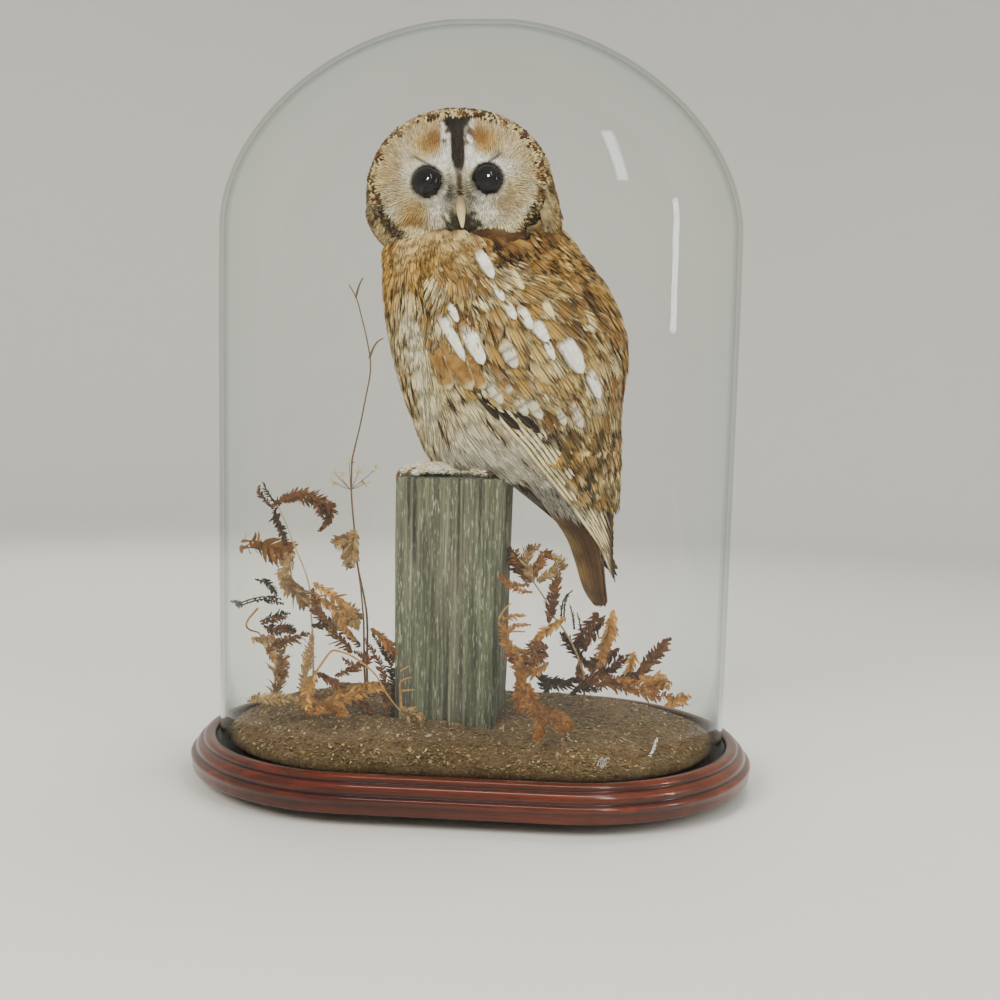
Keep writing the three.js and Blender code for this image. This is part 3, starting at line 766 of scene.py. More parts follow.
head = {"at": (-13.5, -8, 419), "side": 67, "front": 50, "back": 62, "top": 62, "under": 50,
        "turn": 0.1, "pivot": (-1.9, 4.55), "tilt": 0.068, "eyeApart": 20.45, "eyeDepth": -42,
        "eye": 11}
headAt = np.array(head["at"], dtype=float)
c, s = math.cos(head["turn"]), math.sin(head["turn"])
headAxes = np.array([[c, s, 0], [-s, c, 0], [0, 0, 1.0]])   # rows are the head's own x, y, z
c, s = math.cos(head["tilt"]), math.sin(head["tilt"])
faceAxes = np.array([[c, s], [-s, c]])


def toFace(local):
    # across and up on the tilted face, from the head's own x and z
    return (local[..., [0, 2]] - np.array(head["pivot"])) @ faceAxes.T


def fromFace(across, up):
    flat = np.stack([across, up], -1) @ faceAxes + np.array(head["pivot"])
    return flat[..., 0], flat[..., 1]


def discEdge(across, up):
    # below 1 inside the facial disc, 1 on its rim: a rounded rectangle by powers
    high = np.where(up > 1, 42.5, 39.5)
    return ((np.abs(across - 0.3) / 53) ** 2.25 + (np.abs(up - 1) / high) ** 2.25) ** (1 / 2.25)


def faceRelief(across, up):
    # rims round the eyes, a ridge between them, a hollow in each half, a raised ruff
    eyeAway = np.hypot(np.abs(across) - head["eyeApart"], up)
    rim = 3.6 * np.exp(-((eyeAway - 9.5) / 4.5) ** 2)
    hollow = -2.2 * np.exp(-((eyeAway - 21) / 8) ** 2)
    middle = across - 1.3
    ridge = 5.5 * np.exp(-(middle / 6.5) ** 2) * smooth(-40, -12, up) * (1 - smooth(18, 46, up))
    cheek = 2.5 * np.exp(-((up + 27) / 11) ** 2 - (middle / 17) ** 2)
    brow = 2.6 * np.exp(-((up - 14 - 0.2 * np.abs(middle)) / 4.0) ** 2) \
        * np.exp(-((np.abs(middle) - 12) / 9) ** 2)
    ruff = 2.4 * np.exp(-((discEdge(across, up) - 1.05) / 0.08) ** 2)
    return rim + hollow + ridge + cheek + brow + ruff


def onHead(ways, grow=0.0):
    # the head's surface in the direction of unit vectors: the level half width is the
    # power 0.92 of the circle's, deeper behind, taller above, with the relief on the face
    level = np.hypot(ways[..., 0], ways[..., 1])
    full = np.maximum(level, 1e-6) ** -0.08
    side, face, tall = ways[..., 0] * full, ways[..., 1] * full, ways[..., 2]
    deep = np.where(face > 0, head["back"], head["front"])
    dish = 5 * np.exp(-(side ** 2 * 5 + tall ** 2 * 3)) * smooth(-0.05, 0.35, -face)
    high = np.where(tall > 0, head["top"], head["under"])
    local = np.stack([side * (head["side"] + grow), face * (deep + grow) + dish,
                      tall * (high + grow)], -1)
    on = toFace(local)
    relief = faceRelief(on[..., 0], on[..., 1]) * smooth(0.1, 0.4, -face)
    outwards = unit(local / np.array([head["side"], 56, 56]) ** 2)
    return headAt + (local + outwards * relief[..., None]) @ headAxes


def wayOf(points):
    # the unit vector whose place on the head is nearest to each point
    local = (points - headAt) @ headAxes.T
    deep = np.where(local[..., 1] > 0, head["back"], head["front"] - 3)
    high = np.where(local[..., 2] > 0, head["top"], head["under"])
    return unit(local / np.stack([np.full(deep.shape, head["side"]), deep, high], -1))


def hugHead(points):
    ways = wayOf(points)
    first = unit(np.cross(ways, np.array([0.31, 0.17, 0.93])))
    second = np.cross(ways, first)
    step = 0.02
    a = onHead(unit(ways + first * step)) - onHead(unit(ways - first * step))
    b = onHead(unit(ways + second * step)) - onHead(unit(ways - second * step))
    out = unit(np.cross(a, b))
    middle = onHead(ways)
    flip = np.sign(np.sum(out * (middle - headAt), -1, keepdims=True))
    return middle, out * flip


def hugNape(points):
    # the head's surface, standing further out low on its left side where the nape is full
    middle, out = hugHead(points)
    local = (points - headAt) @ headAxes.T
    full = 6.5 * smooth(15, 50, local[..., 0]) * smooth(14, -20, local[..., 2])
    return middle + out * full[..., None], out


def facePoint(across, up):
    # the head's surface at a place of the face: the height fixes how wide the head is there,
    # and the rest of the unit vector points forward
    x, z = fromFace(across, up)
    tall = np.clip(z / np.where(z > 0, head["top"], head["under"]), -0.98, 0.98)
    level = np.sqrt(1 - tall ** 2)
    side = np.clip(x / head["side"] * level ** 0.08, -level * 0.98, level * 0.98)
    return onHead(np.stack([side, -np.sqrt(level ** 2 - side ** 2), tall], -1))


def layFeathers(name, roots, lie, length, width, kind, paint, hug, unwrap, seed):
    # each feather is a fan of barbs that leave the root together, spread by the width and end
    # on a rounded, ragged tip; a barb is a flat three-sided tube of four rings and a point.
    # They follow the surface, sink at the root and stand clear at the tip.
    source = np.random.default_rng(seed)
    n, barbs = len(roots), kind["barbs"]
    length, width = np.broadcast_to(length, n), np.broadcast_to(width, n)
    base_, out = hug(roots)
    lie = unit(lie - out * np.sum(lie * out, -1, keepdims=True))
    aside = np.cross(out, lie)
    t = np.array([0, 0.27, 0.55, 0.8, 1.0])
    j = np.linspace(-1, 1, barbs) if barbs > 1 else np.zeros(1)
    chance = source.random((n, 6))
    reach = 1 - kind.get("round", 0.3) * np.abs(j) ** 2.2 + source.normal(
        0, kind.get("ragged", 0.05), (n, barbs))
    along = reach[..., None] * t
    spread = 0.32 + 0.68 * np.sin(np.minimum(1, t * 1.25) * np.pi / 2)
    across = j[:, None] * spread + source.normal(0, 0.07, (n, barbs, 1)) * t \
        + (source.random((n, 1, 1)) - 0.5) * kind.get("bend", 0.25) * t ** 2
    flat = (base_[:, None, None] + lie[:, None, None] * (along * length[:, None, None])[..., None]
            + aside[:, None, None] * (across * width[:, None, None] / 2)[..., None])
    spine, normal = hug(flat)
    low, high = kind["lift"]
    lift = low + (high - low) * t ** 1.3 + source.normal(0, 0.18, (n, barbs, 1)) * t \
        + (source.random((n, 1, 1)) - 0.5) * kind.get("uneven", 0.5) \
        - 0.35 * np.abs(j[:, None]) ** 2
    spine = spine + normal * lift[..., None]
    run = unit(np.gradient(spine, axis=2))
    side = unit(np.cross(normal, run))
    half = (width / max(barbs, 2))[:, None, None] * kind.get("fill", 0.85) \
        * np.array([0.75, 1.1, 1.15, 0.85, 0])
    thick = kind.get("thick", 0.45)
    ridge = spine[:, :, :4] + normal[:, :, :4] * thick * 0.6
    left = spine[:, :, :4] - side[:, :, :4] * half[:, :, :4, None] - normal[:, :, :4] * thick * 0.3
    right = spine[:, :, :4] + side[:, :, :4] * half[:, :, :4, None] - normal[:, :, :4] * thick * 0.3
    rings = np.stack([left, right, ridge], 3).reshape(n, barbs, 12, 3)
    points = np.concatenate([rings, spine[:, :, 4:]], 2).reshape(-1, 13, 3)
    template = [gridFaces(4, 3, aroundColumns=True),
                np.array([[0, 2, 1], [9, 10, 12], [10, 11, 12], [11, 9, 12]])]
    template = outward(points[0], template)
    start = np.arange(len(points))[:, None, None] * 13
    faces = [(f[None] + start).reshape(-1, f.shape[1]) for f in template]
    colour = paint(along, np.broadcast_to(j[:, None], along.shape), spine,
                   roots[:, None, None], chance[:, :, None, None])
    colour = colour * (1 + source.normal(0, kind.get("mottle", 0.06), (n, barbs, 1, 1)))
    # painted highlight and shade: each barb's ridge lighter and its two lower edges darker
    ring = colour[:, :, :4, None] * np.array([0.93, 0.93, 1.07])[:, None]
    colour = np.concatenate([ring.reshape(n, barbs, 12, 3), colour[:, :, 4:]], 2)
    centre = unwrap(roots)[:, None, None]
    local = np.stack([along - 0.5, np.broadcast_to(j[:, None] * 0.45, along.shape)], -1) * 0.003
    local = np.concatenate([np.repeat(local[:, :, :4], 3, axis=2), local[:, :, 4:]], 2)
    return makePiece(name, points, faces, featherFinish, [],
                     np.clip(colour, 0.002, 1), centre + local)


def layVanes(name, spines, width, kind, paint, hug, unwrap, seed):
    # large feathers: a closed leaf along each spine, half width by the power curve
    # (1 - t^p)^(1/p) towards a round tip, hugging the surface, thin, with nicked edges
    source = np.random.default_rng(seed)
    n, stations = spines.shape[:2]
    columns = kind.get("columns", 9)
    width = np.broadcast_to(width, n)
    t = np.linspace(0, 1, stations)
    j = np.linspace(-1, 1, columns)
    power = kind.get("blunt", 2.4)
    half = (1 - np.clip((t - 0.4) / 0.6, 0, 1) ** power + 1e-4) ** (1 / power)
    half = half * smooth(-0.25, 0.3, t)
    nick = 1 + source.normal(0, kind.get("nick", 0.03), (n, stations, 1)) * np.abs(j) ** 4
    middle, out = hug(spines)
    run = unit(np.gradient(spines, axis=1))
    side = unit(np.cross(out, run))
    flat = spines[:, :, None] + side[:, :, None] * (
        j * nick * half[:, None] * width[:, None, None] / 2)[..., None]
    on, normal = hug(flat)
    low, high = kind["lift"]
    lift = low + (high - low) * t[:, None] ** 1.2 + kind.get("tent", 0.0) * j * -1 \
        - kind.get("camber", 0.5) * j ** 2 + kind.get("step", 0) * np.arange(n)[:, None, None]
    top = on + normal * lift[..., None]
    thick = kind.get("thick", 0.5) * (1 - 0.6 * j ** 2) * (1 - 0.5 * t[:, None])
    under = top - normal * thick[..., None]
    rings = np.concatenate([top, under[:, :, ::-1][:, :, 1:-1]], 2)
    count = rings.shape[2]
    ends = np.stack([rings[:, 0].mean(1), rings[:, -1].mean(1)], 1)
    points = np.concatenate([rings.reshape(n, -1, 3), ends], 1)
    _, template = closedRings(rings[0])
    start = np.arange(n)[:, None, None] * points.shape[1]
    faces = [(f[None] + start).reshape(-1, f.shape[1]) for f in template]
    chance = source.random((n, 6))
    along = np.broadcast_to(t[:, None], (n, stations, columns))
    colour = paint(along, np.broadcast_to(j, along.shape), top, spines[:, :1, None],
                   chance[:, :, None, None])
    colour = colour * (1 + source.normal(0, 0.05, (n, stations, 1, 1)))
    # painted shade: the underside of each vane darker
    colour = np.concatenate([colour, colour[:, :, ::-1][:, :, 1:-1] * 0.8], 2)
    place = np.stack([along - 0.5, np.broadcast_to(j * 0.45, along.shape)], -1) * 0.003
    place = np.concatenate([place, place[:, :, ::-1][:, :, 1:-1]], 2)
    tips = colour[:, [0, -1]].mean(2)
    colour = np.concatenate([colour.reshape(n, -1, 3), tips], 1)
    centre = unwrap(spines[:, 0])[:, None]
    place = np.concatenate([place.reshape(n, -1, 2), np.zeros((n, 2, 2))], 1) + centre
    return makePiece(name, points, faces, featherFinish, [],
                     np.clip(colour, 0.002, 1), place)


def bodyUnwrap(points):
    # round the body by its turn, up it by its height
    turn, z = turnOf(points, "wing")
    return np.stack([turn / (2 * np.pi) * 0.98 + 0.5, (z - 95) / 330], -1)


def headUnwrap(points):
    # round the head from the nape, up it by the slope
    ways = wayOf(points)
    return np.stack([np.arctan2(ways[..., 0], -ways[..., 1]) / (2 * np.pi) * 0.98 + 0.5,
                     np.arcsin(np.clip(ways[..., 2], -1, 1)) / np.pi * 0.98 + 0.5], -1)


def slope(turn, z, lean):
    # a direction on the coat: down, leaning by an angle towards the back
    round_ = unit(onCoat(turn + 0.02, z) - onCoat(turn - 0.02, z))
    down = unit(onCoat(turn, z - 1.0) - onCoat(turn, z + 1.0))
    lean = lean * np.sign(turn)
    return down * np.cos(lean)[:, None] + round_ * np.sin(lean)[:, None]


def meshOfRows(heights, columns, source, wobble=0.22):
    # staggered rows round the body: each place a turn and a height, a little out of line
    turn, z = [], []
    for k, height in enumerate(heights):
        step = 2 * np.pi / columns
        turns = (np.arange(columns) + 0.5 * (k % 2)) * step - np.pi
        turn.append(turns + source.normal(0, wobble * 0.4 * step, columns))
        z.append(height + source.normal(0, wobble * 6, columns))
    return np.concatenate(turn), np.concatenate(z)


wingStops = np.array(bird["wingStops"], dtype=float)


def wingPlace(row, part):
    # turn in degrees and height on the folded wing: row counts from the shoulder to the tip,
    # part goes from the front edge to the rear edge
    k = np.arange(len(wingStops))
    turn1, z1, turn2, z2 = (np.interp(row, k, wingStops[:, i]) for i in range(4))
    return turn1 + (turn2 - turn1) * part, z1 + (z2 - z1) * part


def underWing(turn, z):
    # how many degrees a place lies inside the wing's edges, negative outside them
    side = np.abs(np.degrees(turn))
    front = np.interp(z, wingStops[::-1, 1], wingStops[::-1, 0])
    rear = np.interp(z, wingStops[::-1, 3], wingStops[::-1, 2])
    inside = np.minimum(side - front, rear - side)
    return np.where(z > 367, -20, inside)


tones = {name: tone(code) for name, code in {
    "white": "#eeebe1", "cream": "#e8d9aa", "buff": "#c89d4e", "gold": "#ae8a46",
    "tawny": "#835b2b", "rufous": "#5e391f", "umber": "#3f2712", "dark": "#1c1109",
    "grey": "#cdc8b6", "stone": "#9a8f74", "black": "#0a0807", "straw": "#d8c48e"}.items()}


def paintBreast(a, j, at, root, chance):
    # cream above and grey-white below, long dark shaft streaks in a tawny halo, brown and
    # mottled along the middle, orange and rust under the neck
    turn, z = turnOf(root, "trunk")
    side = np.degrees(turn)
    patch = drift(root, 22, 3)
    belly = smooth(305, 250, z) * smooth(-2, 14, side)
    colour = mix(tones["cream"], tones["grey"] * 1.15, np.maximum(belly, smooth(300, 240, z) * 0.7))
    colour = mix(colour, tones["straw"], np.clip(0.3 + 0.5 * patch, 0, 0.8) * smooth(250, 320, z))
    clear = np.exp(-((side - 15) / 9) ** 2) * smooth(268, 290, z) * smooth(372, 352, z)
    colour = mix(colour, tones["grey"] * 1.1, clear * 0.6)
    orange = np.exp(-((side - 31) / 13) ** 2 - ((z - 371) / 12) ** 2)
    orange = orange + 0.7 * smooth(335, 368, z) * smooth(16, 4, side) + 0.35 * smooth(366, 378, z)
    colour = mix(colour, tones["buff"], np.clip(orange * 1.2, 0, 0.95))
    rust = np.exp(-((side - 47) / 10) ** 2 - ((z - 361) / 11) ** 2)
    colour = mix(colour, tones["rufous"], np.clip(rust * 1.5, 0, 0.95))
    colour = np.broadcast_to(colour, at.shape)
    brown = smooth(9, -6, side) * smooth(236, 285, z)
    mottle = smooth(0.0, 0.7, drift(at * np.array([1, 1, 0.55]), 6, 8))
    colour = mix(colour, tones["tawny"], mottle * np.clip(0.25 + 0.75 * brown + 0.5 * smooth(
        360, 376, z) - 0.4 * clear, 0, 1))
    often = np.clip(0.3 + 0.4 * smooth(262, 300, z) - 0.6 * clear - 0.15 * belly, 0.05, 1)
    strong = np.where(chance[:, 0] < often, 1.0, 0.05) * (1 - 0.6 * smooth(368, 378, z))
    halo = (1 - smooth(0.2, 0.75, np.abs(j))) * smooth(0.2, 0.55, a) * strong
    colour = mix(colour, tones["gold"], 0.6 * halo)
    wide = 0.14 + 0.16 * chance[:, 1] * smooth(240, 300, z)
    streak = (1 - smooth(wide * 0.7, wide * 1.5, np.abs(j + 0.1))) * smooth(0.3, 0.5, a)
    colour = mix(colour, tones["umber"] * 0.8, np.clip(streak * strong, 0, 1) * 0.95)
    # painted shade: darker towards the root, where the feather above covers it
    return colour * (0.6 + 0.4 * smooth(0.1, 0.6, a))[..., None]


def paintMantle(a, j, at, root, chance):
    # golden brown, dark red-brown near the neck, broad dark shafts and blotches, pale flecks
    turn, z = turnOf(root, "wing")
    side = np.abs(np.degrees(turn))
    colour = mix(tones["tawny"], tones["buff"], np.clip(0.5 + 0.7 * drift(root, 15, 5), 0, 1))
    neck = smooth(362, 380, z) * smooth(56, 68, side) * smooth(108, 90, side)
    colour = mix(colour, tones["rufous"] * 0.9, neck * (0.55 + 0.35 * drift(root, 7, 9)))
    colour = mix(colour, tones["stone"], smooth(120, 165, side) * 0.3)
    colour = np.broadcast_to(colour, at.shape)
    pale = smooth(0.35, 0.9, np.abs(j)) * smooth(-0.3, 0.6, drift(at, 8, 6)) * smooth(0.35, 0.7, a)
    colour = mix(colour, tones["straw"], 0.85 * pale * (1 - 0.7 * neck))
    blotch = smooth(0.1, 0.8, drift(at * np.array([1, 1, 0.6]), 9, 7)) * smooth(0.3, 0.6, a)
    colour = mix(colour, tones["umber"], 0.7 * blotch)
    wide = 0.14 + 0.22 * chance[:, 1]
    streak = (1 - smooth(wide * 0.6, wide * 1.5, np.abs(j + 0.1))) * smooth(0.15, 0.4, a)
    colour = mix(colour, tones["dark"], streak * np.where(chance[:, 2] < 0.75, 0.95, 0.3))
    # painted shade: darker towards the root, where the feather above covers it
    return colour * (0.7 + 0.35 * smooth(0.1, 0.6, a))[..., None]


def paintCovert(a, j, at, root, chance):
    # broad tawny, rust and cream webs above; below, umber bars and cream spots on brown
    turn, z = turnOf(root, "wing")
    side = np.abs(np.degrees(turn))
    low = smooth(290, 262, z)
    patch = drift(root, 14, 15)
    upper = mix(tones["gold"], tones["cream"], smooth(0.1, 0.8, patch) * 0.8)
    upper = mix(upper, tones["rufous"], smooth(0.0, 0.7, -patch) * 0.7)
    lower = mix(tones["umber"], tones["buff"], np.clip(0.55 + 0.5 * patch, 0, 0.9))
    colour = np.broadcast_to(mix(upper, lower, low), at.shape)
    web = smooth(0.0, 0.5, j) * smooth(0.15, 0.45, a) * np.where(chance[:, 2] < 0.65, 1, 0.15)
    colour = mix(colour, tones["umber"], 0.75 * web)
    bars = smooth(0.0, 0.6, np.sin(a * 15 + chance[:, 2] * 6 + j * 1.2))
    colour = mix(colour, tones["dark"], bars * (0.12 + 0.55 * low))
    spot = np.exp(-((np.abs(j) - 0.55) / 0.28) ** 2 - ((a - 0.84) / 0.12) ** 2)
    colour = mix(colour, tones["cream"], spot * np.where(chance[:, 3] < 0.5, 0.9, 0.15) * (1 - 0.4 * (
        1 - low)) * smooth(150, 120, side))
    edge = smooth(0.8, 0.97, np.maximum(np.abs(j), a)) * (1 - low)
    colour = mix(colour, tones["cream"], 0.45 * edge)
    shaft = (1 - smooth(0.02, 0.14, np.abs(j))) * smooth(0.1, 0.3, a)
    colour = mix(colour, tones["dark"], shaft * 0.7)
    # painted shade: darker towards the root, where the feather above covers it
    return colour * (0.65 + 0.4 * smooth(0.05, 0.55, a))[..., None]


def paintMark(look):
    # one feather's look: 0 white with a dark inner edge, 1 pale straw, 2 white with dusky
    # bars, 3 orange brown with a thin pale edge, 4 painted shadow: a dark feather where the row above casts
    # its shade
    ground = np.array([tones[k] for k in ("white", "straw", "grey", "tawny", "dark")])
    rim = np.array([tones[k] for k in ("umber", "tawny", "umber", "cream", "umber")])
    look = np.asarray(look)[:, None, None]

    def paint(a, j, at, root, chance):
        colour = np.broadcast_to(ground[look], at.shape)
        bars = smooth(0.2, 0.6, np.sin(a * 19 + 1)) * (look == 2) * 0.6
        colour = mix(colour, tones["umber"], bars)
        warm = smooth(-0.3, 0.6, drift(at, 5, 16)) * (look == 3) * 0.6
        colour = mix(colour, tones["gold"], warm)
        inner = np.where(look == 3, smooth(0.82, 0.95, np.maximum(np.abs(j), a)) * 0.7,
                         smooth(0.55, 0.85, -j) * 0.9)
        colour = mix(colour, rim[look], inner)
        colour = mix(colour, tones["tawny"], smooth(0.3, 0.05, a) * (look < 3) * 0.95)
        worn = smooth(0.0, 0.8, drift(at, 4, 17)) * (look < 3) * 0.45
        colour = mix(colour, tones["straw"], worn)
        return mix(colour, tones["stone"], (1 - smooth(0.0, 0.1, np.abs(j + 0.2))) * 0.4)
    return paint


def paintPrimary(a, j, at, root, chance):
    # narrow cream outer web with a few brown bars, dark brown inner web
    bars = smooth(0.5, 0.8, np.sin(a * 34 + chance[:, 2] * 6)) * smooth(0.3, 0.6, a)
    outer = mix(tones["cream"] * 1.08, tones["umber"], bars * 0.75)
    inner = mix(tones["dark"] * 1.3, tones["tawny"], smooth(0.5, 0.9, np.sin(a * 34)) * 0.4)
    colour = mix(inner, outer, smooth(0.46, 0.6, -j))
    colour = mix(colour, tones["umber"] * 0.8, smooth(0.84, 0.95, a))
    colour = mix(colour, tones["dark"], (1 - smooth(0.0, 0.1, np.abs(j))) * 0.6)
    under = smooth(66, 73, at[..., 1]) * smooth(186, 198, at[..., 2])
    return mix(colour, tones["grey"], under * 0.9)


def paintSecondary(a, j, at, root, chance):
    # dark brown with cream and golden bars broken by mottling, a pale tip
    bars = smooth(0.1, 0.55, np.sin(a * 24 + chance[:, 2] * 2 + 1.1 * drift(at, 8, 31)))
    colour = mix(tones["umber"] * 1.4, tones["straw"], bars * (0.6 + 0.5 * smooth(0, 0.5, np.abs(j))))
    colour = mix(colour, tones["gold"], smooth(0.0, 0.8, drift(at, 10, 32)) * 0.45)
    colour = mix(colour, tones["cream"], smooth(0.93, 0.98, a) * 0.6)
    return mix(colour, tones["dark"], (1 - smooth(0.0, 0.1, np.abs(j))) * 0.7)


def paintTail(a, j, at, root, chance):
    # orange brown, faintly barred, golden along one edge and dusky along the other
    across = (at - stand) @ leftward
    colour = mix(tones["gold"], tones["tawny"], smooth(-6, 10, across))
    bars = smooth(0.2, 0.7, np.sin(a * 30 + drift(at, 9, 33)))
    colour = mix(colour, tones["rufous"], bars * 0.55)
    colour = mix(colour, tones["umber"], smooth(6, 16, across) * 0.6)
    colour = mix(colour, tones["grey"], smooth(186, 200, at[..., 2]) * 0.9)
    return mix(colour, tones["dark"], (1 - smooth(0.0, 0.1, np.abs(j))) * 0.35)


def paintVent(a, j, at, root, chance):
    # soft grey-white with a hair-thin dark shaft on some
    colour = np.broadcast_to(mix(tones["grey"], tones["white"], 0.4 + 0.6 * chance[:, 1]), at.shape)
    strong = np.where(chance[:, 0] < 0.5, 0.85, 0.1)
    streak = (1 - smooth(0.05, 0.22, np.abs(j))) * smooth(0.35, 0.6, a) * strong
    colour = mix(colour, tones["umber"], streak)
    # painted shade: darker towards the root, where the feather above covers it
    return colour * (0.75 + 0.25 * smooth(0.0, 0.4, a))[..., None]


def crownColour(at):
    # dark umber broken by tawny and cream flecks, darkest along the middle of the crown,
    # browner and more evenly mottled down the nape
    local = (at - headAt) @ headAxes.T
    middle = np.exp(-((local[..., 0] + 3) / 10) ** 2) * smooth(30, 50, local[..., 2])
    nape = smooth(20, 45, np.abs(local[..., 0])) * smooth(32, 8, local[..., 2])
    colour = mix(tones["umber"], tones["tawny"], smooth(-0.2, 0.7, drift(at, 8, 42)))
    fleck = smooth(0.1, 0.9, drift(at, 7, 41)) * (0.8 - 0.6 * middle)
    colour = mix(colour, tones["straw"], fleck)
    colour = mix(colour, tones["gold"], nape * smooth(-0.3, 0.7, drift(at, 9, 44)) * 0.5)
    colour = mix(colour, tones["straw"], nape * smooth(-0.3, 0.6, drift(at, 10, 45)) * 0.6)
    dash = smooth(0.1, 0.6, drift(at * np.array([1, 1, 0.5]), 3.2, 46))
    colour = mix(colour, tones["umber"], nape * dash * 0.5)
    return mix(colour, tones["dark"], np.clip(smooth(0.1, 0.9, drift(at, 7, 43)) * 0.6
                                              + 0.6 * middle, 0, 0.95))


def faceColour(at, radial):
    # markings by place on the face: across and up from the point between the eyes
    local = (at - headAt) @ headAxes.T
    on = toFace(local)
    across, up = on[..., 0], on[..., 1]
    middle = across - 1.3
    away = np.abs(middle)
    right = np.sign(middle)
    eyeAway = np.hypot(np.abs(across) - head["eyeApart"], up)

    def spot(x, y, wide, tall, lean=0.0):
        dx, dy = away - x, up - y
        return np.exp(-((dx * math.cos(lean) + dy * math.sin(lean)) / wide) ** 2
                      - ((dy * math.cos(lean) - dx * math.sin(lean)) / tall) ** 2)

    colour = mix(tones["grey"], tones["cream"], np.clip(0.45 + 0.35 * drift(at, 10, 51), 0, 1))
    colour = mix(colour, tones["stone"] * 0.6, np.clip(radial, 0, 1) * 0.75)
    tan = smooth(0.62, 0.98, discEdge(across, up)) * smooth(-30, 5, up)
    colour = mix(colour, tones["gold"], 0.5 * tan)
    colour = mix(colour, tones["gold"], np.clip(spot(20, 27, 9, 9, 0.6) * 1.2, 0, 0.9))
    colour = mix(colour, tones["tawny"], np.clip(spot(15, 31, 6, 7, 0.5) * 1.2, 0, 0.85))
    colour = mix(colour, tones["gold"], np.clip(
        spot(31, -21, 11, 10) * 1.2 * (right < 0) + 0.5 * spot(35, -8, 10, 15) * (right > 0), 0, 0.85))
    colour = mix(colour, tones["tawny"], np.clip(
        spot(34, -28, 9, 6) * (right < 0) + 0.4 * spot(30, -16, 5, 8) * (right > 0), 0, 0.75))
    colour = mix(colour, tones["tawny"], 0.5 * spot(43, 6, 6, 14) * (right < 0))
    colour = mix(colour, tones["white"], np.clip(spot(14, 11, 9, 5, -0.15) * 1.3, 0, 0.95))
    colour = mix(colour, tones["white"], 0.7 * spot(30, 8, 8, 7))
    column = smooth(3.2, 5.0, away) * smooth(13.0, 8.5, away) * smooth(8, 14, up)
    fleck = smooth(-0.5, 0.3, drift(at, 4, 52)) * np.where(up > 24, 1, 0) + np.where(up > 24, 0, 1)
    colour = mix(colour, tones["white"], np.clip(column * fleck, 0, 0.9))
    colour = mix(colour, tones["umber"], column * (1 - np.clip(fleck, 0, 1)) * 0.8)
    colour = mix(colour, tones["white"], 0.75 * spot(15, -17, 7, 10, 0.3))
    stripe = 2.6 + 1.8 * smooth(6, 16, up) + 6 * smooth(32, 46, up)
    dark = smooth(stripe + 1.3, stripe - 0.6, away) * smooth(3, 9, up)
    colour = mix(colour, tones["dark"], np.clip(dark, 0, 0.97))
    thin = smooth(3.0, 1.0, away) * smooth(-16, -8, up) * smooth(9, 3, up)
    colour = mix(colour, tones["umber"], thin * 0.85)
    bristle = np.exp(-((away - 6.5) / 6) ** 2) * smooth(-24, -10, up) * smooth(6, -5, up)
    colour = mix(colour, tones["black"] * 4, bristle * 0.8)
    chin = smooth(18, 8, away + 0.4 * np.abs(up + 31) + 4 * drift(at, 3.5, 53)) * smooth(-13, -24, up)
    colour = mix(colour, tones["umber"] * 0.35, np.clip(chin, 0, 0.95))
    hem = smooth(0.86, 0.93, discEdge(across, up)) * smooth(-26, -31, up) * smooth(8, 12, away)
    colour = mix(colour, tones["cream"] * 1.05, np.clip(hem, 0, 0.9))
    lid = smooth(13.2, 10.8, eyeAway)
    colour = mix(colour, tones["black"] * 2.5, lid * (0.55 + 0.35 * smooth(-4, 8, up)))
    rimLight = np.exp(-((eyeAway - 13.4) / 1.2) ** 2) * smooth(2, -6, up)
    colour = mix(colour, tones["grey"], rimLight * 0.5)
    # painted shade in the crease between the brow and the rim of each eye
    creaseShade = np.exp(-((up - 10.5 - 0.75 * (away - 19)) / 1.6) ** 2) * smooth(17, 20, away) \
        * smooth(33, 28, away)
    colour = mix(colour, tones["umber"] * 0.7, creaseShade * 0.8)
    return colour


def ruffColour(at, a, chance):
    # dark and cream by turns along the ring, with dark crescents low on each side
    local = (at - headAt) @ headAxes.T
    on = toFace(local)
    ring = np.arctan2(on[..., 1], on[..., 0])
    colour = mix(tones["umber"], tones["straw"], smooth(0.45, 0.75, chance[:, 0])
                 * smooth(0.1, 0.5, a) * 0.85)
    colour = mix(colour, tones["tawny"], 0.5 * smooth(0.5, 0.7, chance[:, 1]))
    low = smooth(-3.05, -2.9, ring) * smooth(-2.3, -2.5, ring)
    low = np.maximum(low, smooth(-0.72, -0.55, ring) * smooth(-0.1, -0.3, ring) * 0.3)
    colour = mix(colour, tones["dark"], low * 0.8)
    chinHem = smooth(-2.5, -2.3, ring) * smooth(-0.6, -0.8, ring)
    return mix(colour, tones["cream"], chinHem * 0.7)
print("bird's form ready")


def inset(table, depth, turns=56, step=3.0, low=None, high=None):
    # closed skin of a stack of sections, drawn in by a depth
    heights = tables[table][0]
    low = heights[0] + depth * 0.5 if low is None else low
    high = heights[-1] if high is None else high
    z = np.arange(low, high, step)
    turn = -np.linspace(0, 2 * np.pi, turns, endpoint=False)
    return closedRings(onForm(table, *np.meshgrid(turn, z), grow=-depth))


def wingSlab(side):
    # a thin plate under the wing's feathers, from edge to edge and shoulder to tip
    rings = []
    for row in np.linspace(0.3, 12.4, 40):
        part = np.linspace(0.04, 0.96, 12)
        turn, z = wingPlace(np.full(12, row), part)
        thick = np.interp(row, np.arange(len(wingStops)), wingStops[:, 4])
        outer = onCoat(np.radians(turn) * side, z, -1.8)
        inner = onCoat(np.radians(turn) * side, z, -1.8 - max(2.6, thick - 3))
        rings.append(np.concatenate([outer, inner[::-1]]))
    return closedRings(rings)


